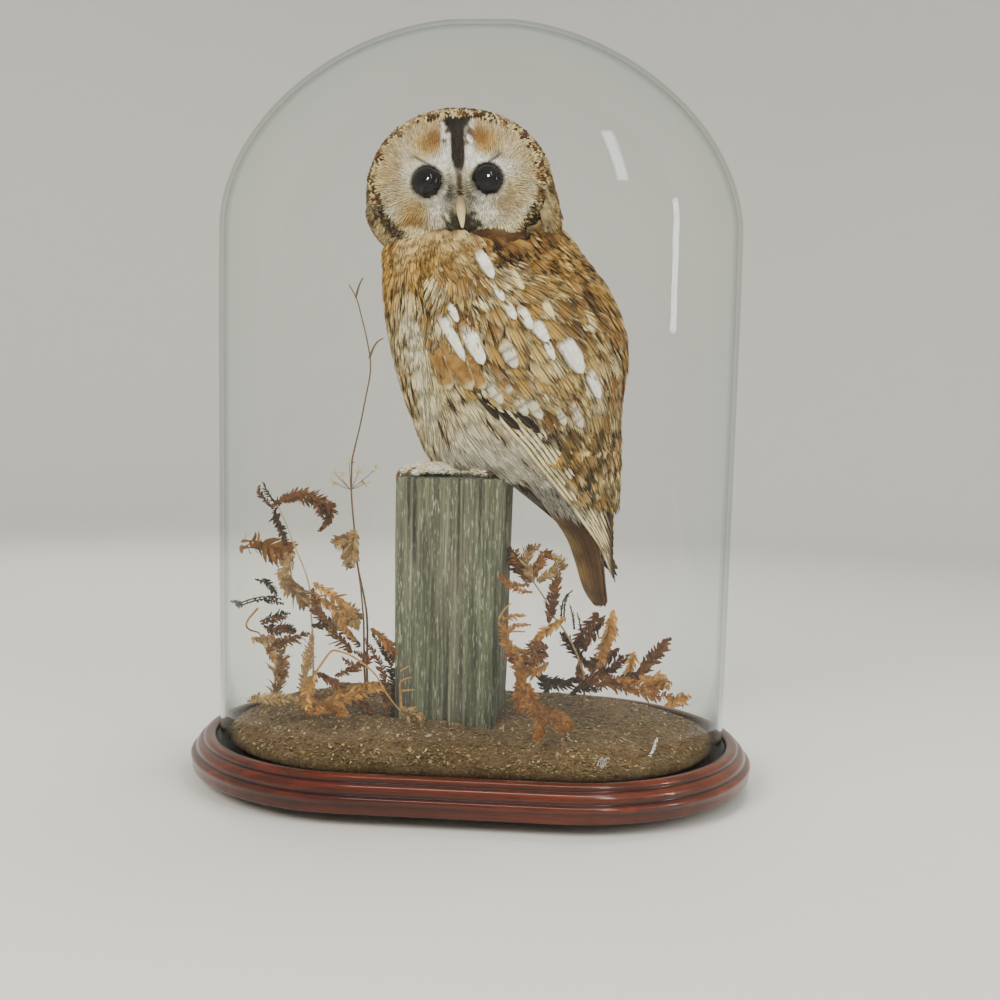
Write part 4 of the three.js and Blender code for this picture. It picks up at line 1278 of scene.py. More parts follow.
legs = {"top": 221.3, "ankle": {"left": (-10, -10), "right": (-12, 21)},
        "turns": {"left": (0.52, 0.08, -0.34, math.pi * 0.84 - 0.0),
                  "right": (0.36, -0.06, -0.5, math.pi * 0.84)},
        "lengths": (32, 37, 31, 18),
        "toe": [(0, 4, 7.4), (0.35, 5.2, 6), (0.7, 4.6, 5.4), (1, 2.8, 4)],
        "overClaw": [(-4, 0.4, 1.9), (-0.5, 0.9, 2.0), (2.6, 1, 1.8), (5.0, 0.5, 1.6),
                     (6.8, -0.6, 1.4), (8.0, -2.6, 1.25), (8.8, -5, 1.05), (8.9, -8.5, 0.75),
                     (8.6, -12, 0.25)],
        "flatClaw": [(-4, 0.4, 1.9), (-0.8, 1.3, 2.0), (2.4, 1.6, 1.8), (4.6, 1.4, 1.55),
                     (6.4, 0.8, 1.35), (8.0, -0.1, 1.05), (9.2, -1.2, 0.65), (9.9, -2.0, 0.25)]}


def toeLine(side, k, count=9):
    # centre line, half width and half height of a toe lying on the post
    x, y = legs["ankle"][side]
    turn = math.pi + legs["turns"][side][k]
    part = np.linspace(0, 1, count)
    stops = np.array(legs["toe"])
    tall = np.interp(part, stops[:, 0], stops[:, 1])
    wide = np.interp(part, stops[:, 0], stops[:, 2])
    out = np.array([math.cos(turn), math.sin(turn), 0])
    line = np.array([x, y, legs["top"] + 0.2]) + out * (part * legs["lengths"][k])[:, None]
    line[:, 2] += tall
    return line, wide, tall, out


def legShapes(side, thin):
    # toes of an oval section and a shank that widens upwards into the thigh
    shapes = []
    turn = np.linspace(0, 2 * np.pi, 14, endpoint=False)
    for k in range(4):
        line, wide, tall, out = toeLine(side, k)
        aside = np.array([-out[1], out[0], 0])
        ring = (line[:, None] + aside * (np.cos(turn) * (wide - thin)[:, None])[..., None]
                + np.array([0, 0, 1.0]) * (np.sin(turn) * (tall - thin)[:, None])[..., None])
        shapes.append(closedRings(ring))
    x, y = legs["ankle"][side]
    z = np.linspace(legs["top"] + 1.5, 262, 14)
    up = (z - legs["top"]) / 38
    radius = np.interp(up, [0, 0.25, 0.55, 1], [8, 11, 13, 14]) - thin
    middle = np.stack([x + 12 * up ** 1.5, y + 7 * up ** 1.4, z], -1)
    ring = middle[:, None] + radius[:, None, None] * np.stack(
        [np.cos(turn), np.sin(turn), 0 * turn], -1)
    return shapes + [closedRings(ring)]


def nearestPaint(points):
    # the skin's own colour at any point: the same markings that the coat carries, blended
    # by where the point lies
    turn, z = turnOf(points, "wing")
    side = np.abs(np.degrees(turn))
    steady = np.full((1, 6, 1, 1), 0.5)
    shape = points[:, None, None]
    half, edge = np.full((len(points), 1, 1), 0.6), np.full((len(points), 1, 1), 0.5)
    args = (half, edge, shape, shape, steady)
    breast, mantle = paintBreast(*args)[:, 0, 0], paintMantle(*args)[:, 0, 0]
    covert, vent = paintCovert(*args)[:, 0, 0], paintVent(*args)[:, 0, 0]
    covert = np.broadcast_to(covert, breast.shape)
    colour = mix(breast, mantle, smooth(52, 66, side))
    colour = mix(colour, covert, smooth(-2, 2, underWing(turn, z)) * smooth(365, 350, z))
    tailward = smooth(248, 236, z) * smooth(40, 50, (points - stand) @ -ahead)
    colour = mix(colour, vent, tailward * (1 - smooth(-2, 2, underWing(turn, z))))
    colour = mix(colour, crownColour(points), smooth(384, 396, z))
    colour = mix(colour, tones["rufous"] * 0.6, smooth(376, 384, z) * smooth(398, 392, z) * 0.85)
    onLeg = smooth(246, 238, z) * smooth(52, 44, (points - stand) @ -ahead)
    # painted shade: the skin a little darker all over, as it shows only in the gaps under the feathers
    return mix(colour, tones["cream"], onLeg) * 0.85


def makeSkin():
    # all the flesh drawn in under the coat and fused into one closed skin by a voxel remesh
    around = np.linspace(0, 2 * np.pi, 72, endpoint=False)
    slopes = np.linspace(-np.pi / 2 + 0.04, np.pi / 2 - 0.04, 44)
    ways = np.stack([np.cos(slopes)[:, None] * np.sin(around),
                     -np.cos(slopes)[:, None] * np.cos(around),
                     np.sin(slopes)[:, None] + 0 * around], -1)
    shapes = [inset("trunk", 4.2), closedRings(onHead(ways, -3.2)),
              inset("tail", 2.0, step=2.0, low=122), wingSlab(1), wingSlab(-1)]
    for side in ("left", "right"):
        shapes += legShapes(side, 1.6)
    points, faces = joinShapes(shapes)
    rough = makePiece("roughSkin", points, faces, featherFinish)
    fuse = rough.modifiers.new("fuse", "REMESH")
    fuse.mode, fuse.voxel_size = "VOXEL", 2.1 * mm
    shaped = rough.evaluated_get(bpy.context.evaluated_depsgraph_get()).to_mesh()
    fused = np.empty(len(shaped.vertices) * 3, dtype=np.float32)
    shaped.vertices.foreach_get("co", fused)
    corners = np.empty(len(shaped.loops), dtype=np.int32)
    shaped.loops.foreach_get("vertex_index", corners)
    sizes = np.empty(len(shaped.polygons), dtype=np.int32)
    shaped.polygons.foreach_get("loop_total", sizes)
    bpy.data.objects.remove(rough)
    points = fused.reshape(-1, 3).astype(float) / mm
    starts = np.concatenate([[0], np.cumsum(sizes)[:-1]])
    faces = [corners[starts[sizes == k][:, None] + np.arange(k)] for k in (3, 4)]
    colour = nearestPaint(points)
    onHeadNow = points[:, 2] > 392
    patch = np.where(onHeadNow[:, None], headUnwrap(points), bodyUnwrap(points))
    makePiece("owlSkin", points, faces, featherFinish,
              ["head", "neck", "trunk", "tail", "wing_left", "wing_right", "leg_left",
               "leg_right"], np.clip(colour, 0.002, 1), patch)


makeSkin()
print("skin ready")

feather = {
    "breast": {"barbs": 15, "lift": (-2.6, 1.2), "ragged": 0.06, "round": 0.28, "bend": 0.3},
    "mantle": {"barbs": 13, "lift": (-2.4, 1.3), "ragged": 0.05, "round": 0.3},
    "covert": {"barbs": 13, "lift": (-2.0, 1.2), "ragged": 0.04, "round": 0.32, "fill": 0.95},
    "vent": {"barbs": 7, "lift": (-2.0, 1.2), "ragged": 0.1, "bend": 0.5},
    "crown": {"barbs": 5, "lift": (-1.2, 0.9), "ragged": 0.06, "round": 0.3, "thick": 0.35},
    "disc": {"barbs": 3, "lift": (-0.7, 0.9), "ragged": 0.12, "thick": 0.28, "fill": 0.6,
             "uneven": 0.7, "bend": 0.8, "mottle": 0.12},
    "nape": {"barbs": 7, "lift": (-1.0, 3.6), "ragged": 0.06, "round": 0.3, "thick": 0.4},
    "ruff": {"barbs": 3, "lift": (-0.6, 1.6), "ragged": 0.06, "thick": 0.35, "fill": 1.0},
    "toes": {"barbs": 3, "lift": (-0.6, 0.7), "ragged": 0.1, "thick": 0.3, "bend": 0.6,
             "slot": "leg_down"},
}


def bodyTract(name, heights, columns, keep, lean, length, width, kind, paint, seed,
              hug=None, where=None):
    # staggered rows of feathers over the part of the coat that keep allows
    source = np.random.default_rng(seed)
    turn, z = meshOfRows(heights, columns, source)
    good = keep(turn, z)
    turn, z = turn[good], z[good]
    roots = (where or onCoat)(turn, z)
    girth = 2 * np.pi * sectionAt("wing", z)[2] / columns
    layFeathers(name, roots, slope(turn, z, lean(turn, z)), length(turn, z)
                * source.uniform(0.88, 1.12, len(z)), width * girth, kind, paint,
                hug or hugCoat, bodyUnwrap, seed + 1)
    return len(z)


def deg(turn):
    return np.abs(np.degrees(turn))


necked = np.arange(391, 372, -4.6)
bodyTract("breastFeathers", np.concatenate([necked, np.arange(370, 226, -8.8)]), 54,
          lambda t, z: (deg(t) < 66) & (underWing(t, z) < 14),
          lambda t, z: 0.42 * smooth(0, 55, deg(t)) + 0.06,
          lambda t, z: 29 + 7 * smooth(330, 270, z) - 12 * smooth(246, 232, z)
          - 13 * smooth(366, 380, z), 1.75,
          feather["breast"], paintBreast, 110)
for side, sideName in ((1, "Left"), (-1, "Right")):
    bodyTract(f"mantle{sideName}", np.concatenate([[402, 397], necked, np.arange(369, 238, -9.2)]), 50,
              lambda t, z: (t * side > 0) & (deg(t) > 60) & ((underWing(t, z) < 16) | (z > 352))
              & ((z > 300) | (deg(t) > 118)) & ((z < 390) | (deg(t) > 100)),
              lambda t, z: 0.3 * np.sin(np.minimum(deg(t), 180) * np.pi / 180) + 0.05,
              lambda t, z: 31 + 4 * smooth(330, 280, z) - 15 * smooth(366, 380, z), 1.75,
              feather["mantle"], paintMantle, 120 + side)
print("breast and mantle ready")


def wingTract(name, side, rows, parts, length, width, kind, paint, seed, lift=0.0):
    # feathers in rows across the folded wing, lying along it towards the tip
    source = np.random.default_rng(seed)
    row, part = [], []
    for k, r in enumerate(rows):
        across = np.arange(parts[0], parts[1], parts[2])
        row.append(r + source.normal(0, 0.06, len(across)))
        part.append(across + (k % 2) * parts[2] / 2 + source.normal(0, parts[2] * 0.1, len(across)))
    row, part = np.concatenate(row), np.concatenate(part)
    spot = [wingPlace(row + k, part) for k in (0, 0.12)]
    roots, ahead_ = (onCoat(np.radians(t) * side, z) for t, z in spot)
    roots = roots + 0
    layFeathers(name, roots, ahead_ - roots, length(row) * source.uniform(0.9, 1.1, len(row)),
                width(row), dict(kind, lift=(kind["lift"][0] + lift, kind["lift"][1] + lift)),
                paint, hugCoat, bodyUnwrap, seed + 1)


def wingPaths(rows, parts, side):
    # shafts on the wing through (row, part) stops, one path per feather
    turn, z = wingPlace(rows, parts)
    return onCoat(np.radians(turn) * side, z)


def makeWing(side, name):
    t = np.linspace(0, 1, 26)
    # primaries fan from the wrist, the leading one lowest along the front edge
    count = 8
    m = np.arange(count)[:, None]
    rows = 4.2 + 0.12 * m + (8.7 - 0.42 * m) * t
    parts = (0.03 + 0.042 * m) + (0.034 * m + 0.14) * t ** 2
    layVanes(f"primaries{name}", wingPaths(rows, np.minimum(parts, 0.95), side)[::-1].copy(),
             10.0, {"lift": (-0.6, 0.2), "columns": 11, "tent": 0.9 * side, "step": 0.16,
                    "thick": 0.6, "blunt": 2.0, "nick": 0.02}, paintPrimary, hugCoat,
             bodyUnwrap, 200 + side)
    # secondaries lie over them from the elbow
    count = 9
    m = np.arange(count)[:, None]
    rows = 4.6 + 0.05 * m + (5.4 - 0.12 * m) * t
    parts = 0.23 + 0.083 * m + 0.06 * t
    layVanes(f"secondaries{name}", wingPaths(rows, np.minimum(parts, 0.98), side), 17.0,
             {"lift": (-0.3, 0.9), "columns": 11, "tent": -0.5 * side, "step": 0.06,
              "thick": 0.6, "blunt": 2.6}, paintSecondary, hugCoat, bodyUnwrap, 210 + side)
    wingTract(f"lowCoverts{name}", side, np.arange(3.6, 8.4, 0.8), (0.2, 1.0, 0.12),
              lambda r: 29 + 1.2 * (r - 4), lambda r: 17 - 0.3 * (r - 4), feather["covert"],
              paintCovert, 220 + side, 0.9)
    wingTract(f"highCoverts{name}", side, np.arange(0.1, 4.6, 0.6), (0.0, 1.0, 0.1),
              lambda r: 25 + 0.6 * r, lambda r: 14.5 + 0 * r, feather["covert"], paintCovert,
              230 + side, 1.0)
    # single feathers that stand out: turn and height of the root and of the tip, width, look; the look 4
    # feathers are painted shadow under the covert row
    marks = np.array([
        (64, 378, 67, 357, 9, 0), (66, 357, 69, 342, 6.5, 0), (68.5, 346, 72, 330, 7.5, 0),
        (75, 340, 78, 324, 8.5, 0), (79, 331, 84, 316, 10, 0), (83, 318, 86, 304, 6.5, 0),
        (90, 321, 100, 296, 16, 0), (103, 300, 112, 279, 11, 0), (77, 366, 79, 350, 7.5, 1),
        (86, 349, 89, 332, 8, 1), (38, 336, 47, 302, 8, 0), (48, 328, 55, 300, 12, 0),
        (64, 317, 69, 298, 11, 2), (44, 341, 47, 328, 6, 0), (53, 293, 60, 274, 9, 2),
        (63, 289, 71, 266, 9, 2), (70, 283, 78, 264, 9.5, 2), (86, 278, 90, 260, 8, 2),
        (94, 278, 100, 258, 9, 2), (32, 312, 38, 283, 15, 3), (38, 320, 47, 283, 16, 3),
        (47, 304, 53, 284, 12, 3), (46, 288, 57, 263, 6, 4), (57, 269, 66, 257, 6, 4),
        (66, 268, 76, 255, 6, 4)])
    marks = marks[np.argsort(-marks[:, 5], kind="stable")]
    t = np.linspace(0, 1, 14)
    turn = marks[:, 0:1] + (marks[:, 2] - marks[:, 0])[:, None] * t
    spines = onCoat(np.radians(turn) * side, marks[:, 1:2] + (marks[:, 3] - marks[:, 1])[:, None] * t)
    layVanes(f"brightFeathers{name}", spines, marks[:, 4],
             {"lift": (0.9, 2.6), "columns": 9, "camber": 0.7, "thick": 0.7, "blunt": 2.2,
              "nick": 0.04, "step": 0.02}, paintMark(marks[:, 5].astype(int)), hugCoat,
             bodyUnwrap, 240 + side)


makeWing(1, "Left")
makeWing(-1, "Right")
print("wings ready")


def tailSpines(across, dorsal, low=118, high=238, count=22):
    # shafts down the tail at shares of its half width, on its back or its front
    z = np.linspace(high, low, count)
    turn = np.arcsin(np.clip(across, -0.97, 0.97))[:, None] + 0 * z
    if dorsal:
        turn = np.pi - turn
    return onForm("tail", turn, z + 0 * turn)


def makeTail():
    layVanes("tailBack", tailSpines(np.linspace(-0.85, 0.85, 9), True), 13.0,
             {"lift": (0.0, 0.6), "columns": 9, "step": 0.05, "thick": 0.6, "blunt": 2.4},
             paintTail, hugTail, bodyUnwrap, 300)
    layVanes("tailUnder", tailSpines(np.linspace(-0.85, 0.85, 8), False), 13.0,
             {"lift": (0.0, 0.6), "columns": 9, "step": 0.05, "thick": 0.6, "blunt": 2.4},
             paintTail, hugTail, bodyUnwrap, 301)
    source = np.random.default_rng(302)
    for name, middle, low, paint in (("ventFluff", 0.0, 203, paintVent),
                                     ("rumpFeathers", np.pi, 196, paintMantle)):
        turn, z = meshOfRows(np.arange(246, low, -5.5), 26, source)
        turn = turn / 2 + middle
        roots = onForm("tail", turn, z)
        down = np.broadcast_to(np.array([0, 0, -1.0]) - 0.55 * ahead, roots.shape)
        layFeathers(name, roots, down, source.uniform(22, 30, len(z)), 12.0, feather["vent"],
                    paint, hugTail, bodyUnwrap, 303)


makeTail()
print("tail ready")


def faceGrid(step, wide, high, source):
    # staggered places over the face, a little out of line
    up = np.arange(-high, high, step * 0.87)
    across = np.arange(-wide, wide, step)
    u, a = np.meshgrid(up, across, indexing="ij")
    a = a + (np.arange(len(up)) % 2)[:, None] * step / 2
    return (a + source.normal(0, step * 0.18, a.shape)).ravel(), \
        (u + source.normal(0, step * 0.18, u.shape)).ravel()


def paintDisc(a, j, at, root, chance):
    radial = smooth(0.35, 0.9, chance[:, 0]) * (0.4 + 0.6 * chance[:, 1])
    # painted shade: darker towards the root, where the feather above covers it
    return faceColour(at, radial) * (0.82 + 0.18 * smooth(0, 0.5, a))[..., None]


def makeFace():
    source = np.random.default_rng(400)
    across, up = faceGrid(1.75, 56, 46, source)
    eyeAway = np.hypot(np.abs(across) - head["eyeApart"], up)
    keep = (discEdge(across, up) < 1.02) & (eyeAway > 9.6)
    across, up, eyeAway = across[keep], up[keep], eyeAway[keep]
    roots = facePoint(across, up)
    side = np.sign(across)
    away = np.stack([across - side * head["eyeApart"], up], -1) / eyeAway[:, None]
    centre = across - 1.3
    rising = np.stack([0.3 * np.sign(centre), np.ones_like(up)], -1)
    falling = np.stack([0.75 * np.sign(centre), -np.ones_like(up) * 0.8], -1)
    spine = mix(falling, rising, smooth(-14, -4, up))
    direction = mix(away, spine, np.exp(-(centre / 6.5) ** 2) * smooth(46, 10, np.abs(up - 8)))
    local = direction @ faceAxes
    lie = np.stack([local[:, 0], 0 * local[:, 0], local[:, 1]], -1) @ headAxes
    length = 5.5 + 5.5 * smooth(10, 30, eyeAway)
    length = np.where(discEdge(across, up) > 0.9, length * 0.7, length)
    layFeathers("facialDisc", roots, lie, length, 2.7, feather["disc"], paintDisc, hugHead,
                headUnwrap, 401)
    # the ruff: rings of short stiff feathers round the disc
    shape = []
    for k, edge in enumerate((1.02, 1.075, 1.13, 1.19)):
        turn = np.linspace(0, 2 * np.pi, 150, endpoint=False) + (k % 2) * np.pi / 150
        reach = edge / discEdge(0.3 + np.cos(turn) * 40, 1 + np.sin(turn) * 40) * 40
        shape.append(np.stack([0.3 + np.cos(turn) * reach, 1 + np.sin(turn) * reach, turn], -1))
    ring = np.concatenate(shape)
    ring = ring[(np.abs(ring[:, 0]) < 62)]
    roots = facePoint(ring[:, 0], ring[:, 1])
    direction = np.stack([np.cos(ring[:, 2]), np.sin(ring[:, 2])], -1) @ faceAxes
    lie = np.stack([direction[:, 0], 0.8 + 0 * direction[:, 0], direction[:, 1]], -1) @ headAxes
    layFeathers("ruff", roots, lie, source.uniform(6.5, 9, len(roots)), 3.6, feather["ruff"],
                lambda a, j, at, root, chance: ruffColour(at, a, chance), hugHead,
                headUnwrap, 402)


def makeCrown():
    # short feathers from the brow over the crown, down the nape and the sides of the head
    source = np.random.default_rng(410)
    count = 2600
    k = np.arange(count) + 0.5
    tall = 1 - 2 * k / count
    round_ = k * np.pi * (3 - math.sqrt(5))
    ways = np.stack([np.sqrt(1 - tall ** 2) * np.cos(round_), tall,
                     np.sqrt(1 - tall ** 2) * np.sin(round_)], -1)
    roots = onHead(ways)
    local = (roots - headAt) @ headAxes.T
    on = toFace(local)
    keep = ((discEdge(on[:, 0], on[:, 1]) > 1.12) | (local[:, 1] > -5)) & (local[:, 2] > -50)
    roots, local, ways = roots[keep], local[keep], ways[keep]
    back = np.stack([0.25 * ways[:, 0], 1.0 + 0 * ways[:, 0], -0.75 + 0.2 * ways[:, 2]], -1)
    lie = back @ headAxes
    low = local[:, 2] < 6 - 14 * smooth(20, -10, local[:, 1])
    for name, part, size, width, kind in (
            ("crownFeathers", ~low, 9 + 3 * smooth(0, 40, local[:, 1]), 6.5, feather["crown"]),
            ("napeFeathers", low, 15 + 0 * local[:, 1], 9.5, feather["nape"])):
        # painted shade: each feather darker towards its root, where the feather above covers it
        layFeathers(name, roots[part], lie[part], size[part] * source.uniform(
            0.85, 1.15, part.sum()), width, kind, lambda a, j, at, root, chance: mix(
                crownColour(0.4 * root + 0.6 * at), tones["cream"], smooth(0.5, 0.9, a)
                * smooth(0.1, 0.6, np.abs(j)) * 0.45 * (chance[:, 0] < 0.4))
            * (0.6 + 0.4 * smooth(0, 0.6, a))[..., None], hugNape, headUnwrap, 411)


makeFace()
makeCrown()
print("head ready")


def ball(middle, radius, rows=28, columns=40):
    # rings of a sphere whose poles look forward and back
    tall = np.linspace(0.02, np.pi - 0.02, rows)
    turn = np.linspace(0, 2 * np.pi, columns, endpoint=False)
    way = np.stack([np.sin(tall)[:, None] * np.cos(turn), -np.cos(tall)[:, None] + 0 * turn,
                    np.sin(tall)[:, None] * np.sin(turn)], -1)
    return closedRings(middle + radius * way @ headAxes)


def makeEyesAndBill():
    glassEye, tree, shader = newMaterial("glassEye", 0.06, Specular_IOR_Level=0.22)
    depthOf = objectPattern(tree, (260, 260, 260), Scale=1.0, Detail=2.0)
    iris = ramp(tree, depthOf.outputs["Fac"], [(0.35, (0.0012, 0.001, 0.0012)),
                                               (0.7, (0.003, 0.0025, 0.003))])
    tree.links.new(iris.outputs["Color"], shader.inputs["Base Color"])
    for side, node in ((-1, "eye_right"), (1, "eye_left")):
        x, z = fromFace(np.array([side * head["eyeApart"]]), np.array([0.0]))
        middle = headAt + np.array([x[0], head["eyeDepth"], z[0]]) @ headAxes
        points, faces = ball(middle, head["eye"])
        makePiece("glass" + node.title().replace("_", ""), points, faces, glassEye,
                  [node])
    # the bill: a ridge that drops and hooks under, oval in section
    stops = np.array([(1.2, -36, -14.5, 3.6, 5), (1.2, -47, -14.5, 3.6, 5),
                      (1.4, -54, -18, 3.4, 4.2), (1.6, -57.6, -24.5, 2.8, 3.3),
                      (1.8, -58, -30, 1.7, 2.1), (1.9, -57, -33.6, 0.6, 0.7)])
    fine = np.linspace(0, 5, 26)
    place = np.stack([np.interp(fine, np.arange(6), stops[:, k]) for k in range(5)], -1)
    soft = np.stack([np.convolve(np.pad(place[:, k], 2, mode="edge"), np.ones(5) / 5, "valid")
                     for k in range(5)], -1)
    x, z = fromFace(soft[:, 0], soft[:, 2])
    line = headAt + np.stack([x, soft[:, 1], z], -1) @ headAxes
    along = unit(np.gradient(line, axis=0))
    wide = unit(np.array([1.0, 0, 0.07]) @ headAxes)
    wide = unit(wide - along * (along @ wide)[:, None])
    deep = np.cross(along, wide)
    turn = np.linspace(0, 2 * np.pi, 20, endpoint=False)
    ring = (line[:, None] + wide[:, None] * (np.cos(turn) * soft[:, 3:4])[..., None]
            + deep[:, None] * (np.sin(turn) * soft[:, 4:5])[..., None])
    points, faces = closedRings(ring)
    down = np.clip((line[:, 2].max() - points[:, 2]) / 20, 0, 1)
    colour = mix(tone("#b89c6a"), tone("#e2cf9c"), smooth(0.1, 0.9, down))
    colour = mix(colour, tone("#6d6152"), smooth(0.35, 0.0, down) * 0.7)
    makePiece("bill", points, faces, hornFinish, ["bill"], colour)


makeEyesAndBill()


def makeClaws():
    # curved tapering rods from the toes' ends; the middle ones hook over the post's edge
    for side in ("left", "right"):
        for k in range(4):
            line, _, _, out = toeLine(side, k)
            curve = np.array(legs["overClaw"] if k == 1 else legs["flatClaw"])
            path = line[-1] + out * curve[:, :1] + np.array([0, 0, 1.0]) * curve[:, 1:2]
            shape = sweep(path, curve[:, 2], 10, 1.0, across=(-out[1], out[0], 0.0))
            points, faces = closedRings(shape)
            t = np.concatenate([np.repeat(np.linspace(0, 1, len(path)), 10), [0, 1]])
            colour = mix(tone("#3a2a1c"), tone("#6b3f22"), smooth(0.2, 0.8, t))
            makePiece(f"talon{side.title()}{k + 1}", points, faces, hornFinish,
                      [f"claw_{side}_{k + 1}"], colour)


makeClaws()


def makeToeDown():
    # short down lying forward along each toe
    source = np.random.default_rng(430)
    roots, lie, out_ = [], [], []
    for side in ("left", "right"):
        for k in range(4):
            line, wide, tall, out = toeLine(side, k, 16)
            aside = np.array([-out[1], out[0], 0])
            turn = np.linspace(-0.35, np.pi + 0.35, 13)
            way = (aside * np.cos(turn)[:, None] + np.array([0, 0, 1.0]) * np.sin(turn)[:, None])
            ring = (line[:, None] + aside * (np.cos(turn) * (wide - 1.2)[:, None])[..., None]
                    + np.array([0, 0, 1.0]) * (np.sin(turn) * (tall - 1.2)[:, None])[..., None])
            roots.append(ring.reshape(-1, 3))
            lie.append(np.broadcast_to(out + np.array([0, 0, -0.15]), ring.shape).reshape(-1, 3))
            out_.append(np.broadcast_to(way, ring.shape).reshape(-1, 3))
    roots, lie, out_ = (np.concatenate(v) for v in (roots, lie, out_))
    roots = roots + source.normal(0, 0.4, roots.shape)

    def hugToe(points):
        shape = (len(points),) + (1,) * (points.ndim - 2) + (3,)
        sink = np.broadcast_to(out_.reshape(shape), points.shape)
        floor = legs["top"] + 0.25
        kept = points.copy()
        kept[..., 2] = np.maximum(kept[..., 2], floor)
        return kept, sink

    # painted shade: each down feather darker towards its root, where the feather above covers it
    layFeathers("toeDown", roots, lie, source.uniform(5, 8, len(roots)), 2.6, feather["toes"],
                lambda a, j, at, root, chance: mix(tones["cream"], tones["white"], chance[:, 0]
                + 0 * a) * (0.8 + 0.2 * a[..., None]), hugToe, bodyUnwrap, 431)


makeToeDown()
print("eyes, bill and feet ready")

